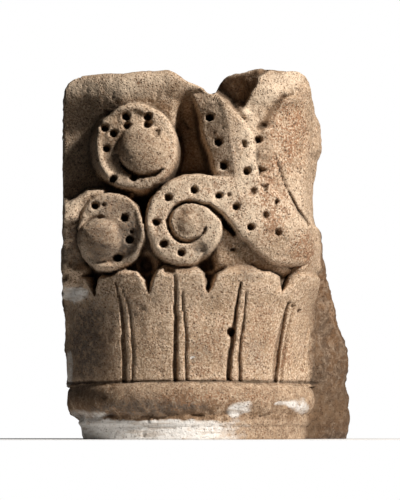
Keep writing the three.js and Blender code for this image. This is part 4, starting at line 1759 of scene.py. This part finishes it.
class Shader:
    """The nodes of a material or a world, made one at a time."""

    def __init__(self, made: bpy.types.Material | bpy.types.World) -> None:
        """Starts without nodes.

        Args:
            made: the new material or world.
        """
        self.made = made
        self.made.use_nodes = True
        self.tree = self.made.node_tree
        self.tree.nodes.clear()

    def raw(self, kind: str, settings: dict[str, Any], values: dict[Any, Any]) -> bpy.types.Node:
        """One node.

        Args:
            kind: the node's type.
            settings: what it does, set first.
            values: its sockets' values, colours or links.

        Returns:
            The node.
        """
        node = self.tree.nodes.new(kind)
        for name, value in settings.items():
            setattr(node, name, value)
        for name, value in values.items():
            if isinstance(value, Term):
                self.tree.links.new(value.socket, node.inputs[name])
            else:
                node.inputs[name].default_value = value
        return node

    def node(
        self, kind: str, settings: dict[str, Any], values: dict[Any, Any], output: Any = 0
    ) -> Term:
        """One node's output.

        Args:
            kind: the node's type.
            settings: what it does, set first.
            values: its sockets' values, colours or links.
            output: name or number of the output.

        Returns:
            The output, as a term.
        """
        return Term(self, self.raw(kind, settings, values).outputs[output])

    def mixed(self, factor: Any, first: Any, second: Any) -> Term:
        """A colour between two.

        Args:
            factor: share of the second.
            first: a colour or term.
            second: a colour or term.

        Returns:
            The mixed colour.
        """
        return self.node("ShaderNodeMix", {"data_type": "RGBA"}, {0: factor, 6: first, 7: second}, 2)

    def noise(self, place: Term, scale: float, detail: float = 4.0, roughness: float = 0.6) -> Term:
        """Noise of a scale, as a number."""
        values = {"Vector": place, "Scale": scale, "Detail": detail, "Roughness": roughness}
        return self.node("ShaderNodeTexNoise", {}, values, "Fac")

    def scaled(self, place: Term, scale: tuple[float, float, float]) -> Term:
        """The place scaled along each axis, so that noise on it is drawn out or moved."""
        return self.node("ShaderNodeVectorMath", {"operation": "MULTIPLY"}, {0: place, 1: scale})

    def cells(self, place: Term, scale: float) -> Term:
        """The distance to the nearest of many scattered points."""
        values = {"Vector": place, "Scale": scale}
        return self.node("ShaderNodeTexVoronoi", {}, values, "Distance")


Colour = tuple[float, float, float, float]


@dataclass(frozen=True)
class Limestone:
    """Porous tan limestone with patina, dirt, lime and iron stains, and painted shade in its hollows
    and shaded patches.
    """

    cream: Colour = (0.86, 0.68, 0.50, 1.0)
    pale: Colour = (0.68, 0.50, 0.35, 1.0)
    tan: Colour = (0.44, 0.295, 0.185, 1.0)
    brown: Colour = (0.24, 0.14, 0.075, 1.0)
    iron: Colour = (0.33, 0.15, 0.07, 1.0)
    # Brown of the soil, which in some patches also paints shade
    soil: Colour = (0.22, 0.13, 0.07, 1.0)
    # Dark grey of the patina, which also paints shade on the left
    patina_and_shade: Colour = (0.145, 0.12, 0.10, 1.0)
    # Near-black, for painted shade in the hollows and for dirt
    shade_and_dirt: Colour = (0.055, 0.036, 0.022, 1.0)
    lime: Colour = (0.9, 0.86, 0.81, 1.0)
    pore: Colour = (0.14, 0.075, 0.042, 1.0)
    flank: Colour = (0.11, 0.068, 0.042, 1.0)
    flank_rust: Colour = (0.17, 0.092, 0.046, 1.0)
    lime_streak: Colour = (0.52, 0.42, 0.33, 1.0)
    cloud_scale: float = 14.0
    blotch_scale: float = 55.0
    fleck_scale: float = 150.0
    grain_scale: float = 520.0
    spot_scale: float = 480.0
    spot_stretch: tuple[float, float, float] = (1.1, 0.9, 1.0)
    streak_scale: float = 230.0
    streak_stretch: tuple[float, float, float] = (0.11, 0.11, 1.0)
    fine_pores: float = 520.0
    coarse_pores: float = 230.0
    roughness: float = 0.88
    bump: float = 0.9
    relief: float = 0.0013
    sheen: float = 0.25

    def material(self) -> bpy.types.Material:
        """The finished stone.

        Returns:
            The material.
        """
        shader = Shader(bpy.data.materials.new("limestone"))
        place = shader.node("ShaderNodeTexCoord", {}, {}, "Object")
        weight = {mark: self.read(shader, mark) for mark in Mark}
        blotch = shader.noise(place, self.blotch_scale, 5.0, 0.62)
        fleck = shader.noise(place, self.fleck_scale, 4.0, 0.6)
        grain = shader.noise(place, self.grain_scale, 3.0, 0.65)
        spot = shader.noise(shader.scaled(place, self.spot_stretch), self.spot_scale, 2.0, 0.5)
        streaks = shader.noise(shader.scaled(place, self.streak_stretch), self.streak_scale, 4.0, 0.65)
        tone = shader.noise(place, self.cloud_scale, 4.0) * 0.35 + blotch * 0.4 + fleck * 0.25
        pores = self.pores(shader, place, fleck, weight)
        lime = (weight[Mark.LIME] * (streaks * 0.8 + fleck * 0.9)).step(0.38, 0.80)

        colour = self.bare(shader, weight, tone, blotch, fleck, grain)
        colour = self.rusted(shader, weight, colour, blotch, spot)
        hewn = weight[Mark.HEWN] * (fleck.step(0.36, 0.58) * 0.3 + 0.68)
        rough_face = shader.mixed(tone.step(0.46, 0.56), self.flank, self.flank_rust)
        colour = shader.mixed(hewn, colour, rough_face)
        colour = self.soiled_and_shaded(shader, weight, colour, blotch, fleck, grain)
        limed = shader.mixed(streaks.step(0.50, 0.64) * 0.6, self.lime, self.lime_streak)
        colour = shader.mixed(lime, colour, limed)
        # Painted shade, near-black by the hollow mark, and blotchy dirt
        shade_and_dirt = weight[Mark.HOLLOW_SHADE] * 0.85 + blotch.step(0.58, 0.72) * 0.25
        colour = shader.mixed(shade_and_dirt, colour, self.shade_and_dirt)
        worn = weight[Mark.PROUD] * grain.step(0.35, 0.6) * 0.55
        colour = shader.mixed(worn, colour, self.cream)
        colour = shader.mixed(pores * (0.85 - lime * 0.6), colour, self.pore)

        height = grain * 0.7 + fleck + spot * 0.5 - pores * 1.1
        values = {"Strength": self.bump, "Distance": self.relief, "Height": height}
        bump = shader.node("ShaderNodeBump", {}, values)
        roughness = self.roughness + (blotch - 0.5) * 0.12 - lime * 0.05
        values = {"Base Color": colour, "Roughness": roughness, "Normal": bump}
        values["Specular IOR Level"] = self.sheen
        surface = shader.node("ShaderNodeBsdfPrincipled", {}, values)
        shader.raw("ShaderNodeOutputMaterial", {}, {"Surface": surface})
        return shader.made

    def bare(
        self,
        shader: Shader,
        weight: dict[Mark, Term],
        tone: Term,
        blotch: Term,
        fleck: Term,
        grain: Term,
    ) -> Term:
        """The clean stone: tan with cream grains and gathered brown ones.

        Args:
            shader: the material.
            weight: the mesh's marks.
            tone: slow change from tan to pale.
            blotch: noise of some centimetres.
            fleck: noise of some millimetres.
            grain: noise of the stone's grains.

        Returns:
            Its colour.
        """
        colour = shader.mixed(tone.step(0.42, 0.58), self.tan, self.pale)
        colour = shader.mixed(grain.step(0.48, 0.64) * 0.75, colour, self.cream)
        colour = shader.mixed(weight[Mark.PALE] * 0.8, colour, self.cream)
        gathered = (blotch * 0.6 + fleck * 0.4).step(0.42, 0.60)
        dark = grain.step(0.49, 0.38) * (gathered * 0.75 + 0.2)
        return shader.mixed(dark, colour, self.brown)

    def rusted(
        self, shader: Shader, weight: dict[Mark, Term], colour: Term, blotch: Term, spot: Term
    ) -> Term:
        """Iron in small spots, thick where the stone is stained.

        Args:
            shader: the material.
            weight: the mesh's marks.
            colour: the stone so far.
            blotch: noise of some centimetres.
            spot: noise of the spots.

        Returns:
            The colour with its rust.
        """
        where = weight[Mark.STAIN] * 0.13 + (blotch - 0.5) * 0.6
        rust = (spot + where).step(0.57, 0.66) * (weight[Mark.STAIN] * 0.5 + 0.35)
        return shader.mixed(rust, colour, self.iron)

    def soiled_and_shaded(
        self,
        shader: Shader,
        weight: dict[Mark, Term],
        colour: Term,
        blotch: Term,
        fleck: Term,
        grain: Term,
    ) -> Term:
        """Soil, and the grey crust over it; in some patches both paint shade as well.

        Args:
            shader: the material.
            weight: the mesh's marks.
            colour: the stone so far.
            blotch: noise of some centimetres.
            fleck: noise of some millimetres.
            grain: noise of the stone's grains.

        Returns:
            The colour with both.
        """
        soil = weight[Mark.SOIL_AND_SHADE] * ((blotch * 0.5 + fleck * 0.5).step(0.38, 0.56) * 0.8 + 0.2)
        colour = shader.mixed(soil, colour, self.soil)
        # Grey patina, which also paints shade on the shaded left side
        grey = weight[Mark.GREY] * (fleck * 0.5 + grain * 0.5).step(0.38, 0.56)
        return shader.mixed(grey * 0.9, colour, self.patina_and_shade)

    def read(self, shader: Shader, mark: Mark) -> Term:
        """A mark's weight on the mesh."""
        return shader.node("ShaderNodeAttribute", {"attribute_name": mark.value}, {}, "Fac")

    def pores(self, shader: Shader, place: Term, where: Term, weight: dict[Mark, Term]) -> Term:
        """Small round pores, in clusters and more of them where the stone is rough.

        Args:
            shader: the material.
            place: the place on the stone.
            where: noise that gathers the pores.
            weight: the mesh's marks.

        Returns:
            1 in a pore and 0 between them.
        """
        fine = shader.cells(place, self.fine_pores)
        coarse = shader.cells(place, self.coarse_pores)
        small = fine.step(0.38, 0.22) * where.step(0.45, 0.60)
        more = weight[Mark.ROUGH] * 0.05 + weight[Mark.STAIN] * 0.03
        large = (coarse - more).step(0.25, 0.13) * where.step(0.60, 0.46)
        return small * 0.7 + large * 0.8


# The studio


@dataclass(frozen=True)
class Lamp:
    """A square area lamp that points at the capital."""

    name: str
    azimuth: float
    elevation: float
    distance: float
    size: float
    power: float
    colour: tuple[float, float, float] = (1.0, 1.0, 1.0)

    def build(self, target: Vector) -> None:
        """Hangs the lamp.

        Args:
            target: what it points at, in metres.
        """
        around, up = math.radians(self.azimuth), math.radians(self.elevation)
        away = Vector((math.sin(around) * math.cos(up), -math.cos(around) * math.cos(up), math.sin(up)))
        light = bpy.data.lights.new(self.name, "AREA")
        light.size = self.size
        light.energy = self.power
        light.color = self.colour
        lamp = bpy.data.objects.new(self.name, light)
        lamp.location = target + away * self.distance
        lamp.rotation_euler = (-away).to_track_quat("-Z", "Y").to_euler()
        bpy.context.scene.collection.objects.link(lamp)


@dataclass(frozen=True)
class Studio:
    """A pale floor in a white room, a raking key lamp and a camera at the photograph's angle."""

    floor_side: float = 0.34
    floor_front: float = 0.23
    floor_behind: float = 0.27
    floor_colour: Colour = (0.93, 0.93, 0.93, 1.0)
    floor_cloud: Colour = (0.88, 0.88, 0.88, 1.0)
    white: Colour = (1.0, 1.0, 1.0, 1.0)
    room_light: float = 0.012
    lit_place: tuple[float, float, float] = (0.0, 0.0, 0.2)
    lamps: Sequence[Lamp] = (
        Lamp("key", 47.0, 32.0, 2.4, 0.36, 82.0, (1.0, 0.97, 0.93)),
        Lamp("left_fill", -30.0, 20.0, 3.0, 1.2, 0.4),
        Lamp("back_fill", 190.0, 40.0, 3.0, 1.5, 14.0),
    )
    front_y: float = -0.11
    camera_distance: float = 3.0
    camera_x: float = -0.0075
    camera_z: float = 0.012
    aim_z: float = 0.1875
    frame_tall: float = 0.4945
    sensor: float = 36.0

    def floor(self) -> None:
        """Lays the floor at the bed's height."""
        front = [(x, -self.floor_front, 0.0) for x in (-self.floor_side, self.floor_side)]
        behind = [(x, self.floor_behind, 0.0) for x in (self.floor_side, -self.floor_side)]
        mesh = bpy.data.meshes.new("floor")
        mesh.from_pydata(front + behind, [], [(0, 1, 2, 3)])
        shader = Shader(bpy.data.materials.new("floor_paper"))
        place = shader.node("ShaderNodeTexCoord", {}, {}, "Object")
        tone = shader.noise(place, 3.0, 3.0)
        colour = shader.mixed(tone * 0.1, self.floor_colour, self.floor_cloud)
        values = {"Base Color": colour, "Roughness": 0.9, "Specular IOR Level": 0.1}
        surface = shader.node("ShaderNodeBsdfPrincipled", {}, values)
        shader.raw("ShaderNodeOutputMaterial", {}, {"Surface": surface})
        mesh.materials.append(shader.made)
        floor = bpy.data.objects.new("floor", mesh)
        bpy.context.scene.collection.objects.link(floor)

    def room(self) -> None:
        """A white room that gives little light of its own."""
        shader = Shader(bpy.data.worlds.new("white_room"))
        seen = shader.node("ShaderNodeLightPath", {}, {}, "Is Camera Ray")
        strength = shader.node("ShaderNodeMix", {}, {0: seen, 2: self.room_light, 3: 1.0})
        values = {"Color": self.white, "Strength": strength}
        background = shader.node("ShaderNodeBackground", {}, values)
        shader.raw("ShaderNodeOutputWorld", {}, {"Surface": background})
        bpy.context.scene.world = shader.made

    def lights(self) -> None:
        """Hangs the key lamp at the right front, a weak one at the left and one behind."""
        for lamp in self.lamps:
            lamp.build(Vector(self.lit_place))

    def camera(self) -> None:
        """Sets the camera low in front, looking a little up at the middle of the stone."""
        lens = bpy.data.cameras.new("camera")
        lens.sensor_width = self.sensor
        to_front = self.camera_distance + self.front_y
        lens.lens = self.sensor * to_front / self.frame_tall
        camera = bpy.data.objects.new("camera", lens)
        camera.location = (self.camera_x, -self.camera_distance, self.camera_z)
        aim = Vector((self.camera_x, self.front_y, self.aim_z))
        camera.rotation_euler = (aim - camera.location).to_track_quat("-Z", "Y").to_euler()
        bpy.context.scene.collection.objects.link(camera)
        bpy.context.scene.camera = camera

    def build(self) -> None:
        """Builds the whole studio."""
        self.floor()
        self.room()
        self.lights()
        self.camera()
        bpy.context.scene.view_settings.view_transform = "Standard"


def main() -> None:
    """Builds the capital and its studio in order and reports each piece."""
    logging.basicConfig(level=logging.INFO, format="%(message)s")
    capital = Capital()
    stone = capital.build()
    capital.dress(stone, Limestone())
    log.info("%s: %d faces", stone.name, len(stone.data.polygons))
    Studio().build()
    log.info("studio: floor, room, lamps and camera")


if __name__ == "__main__":
    main()
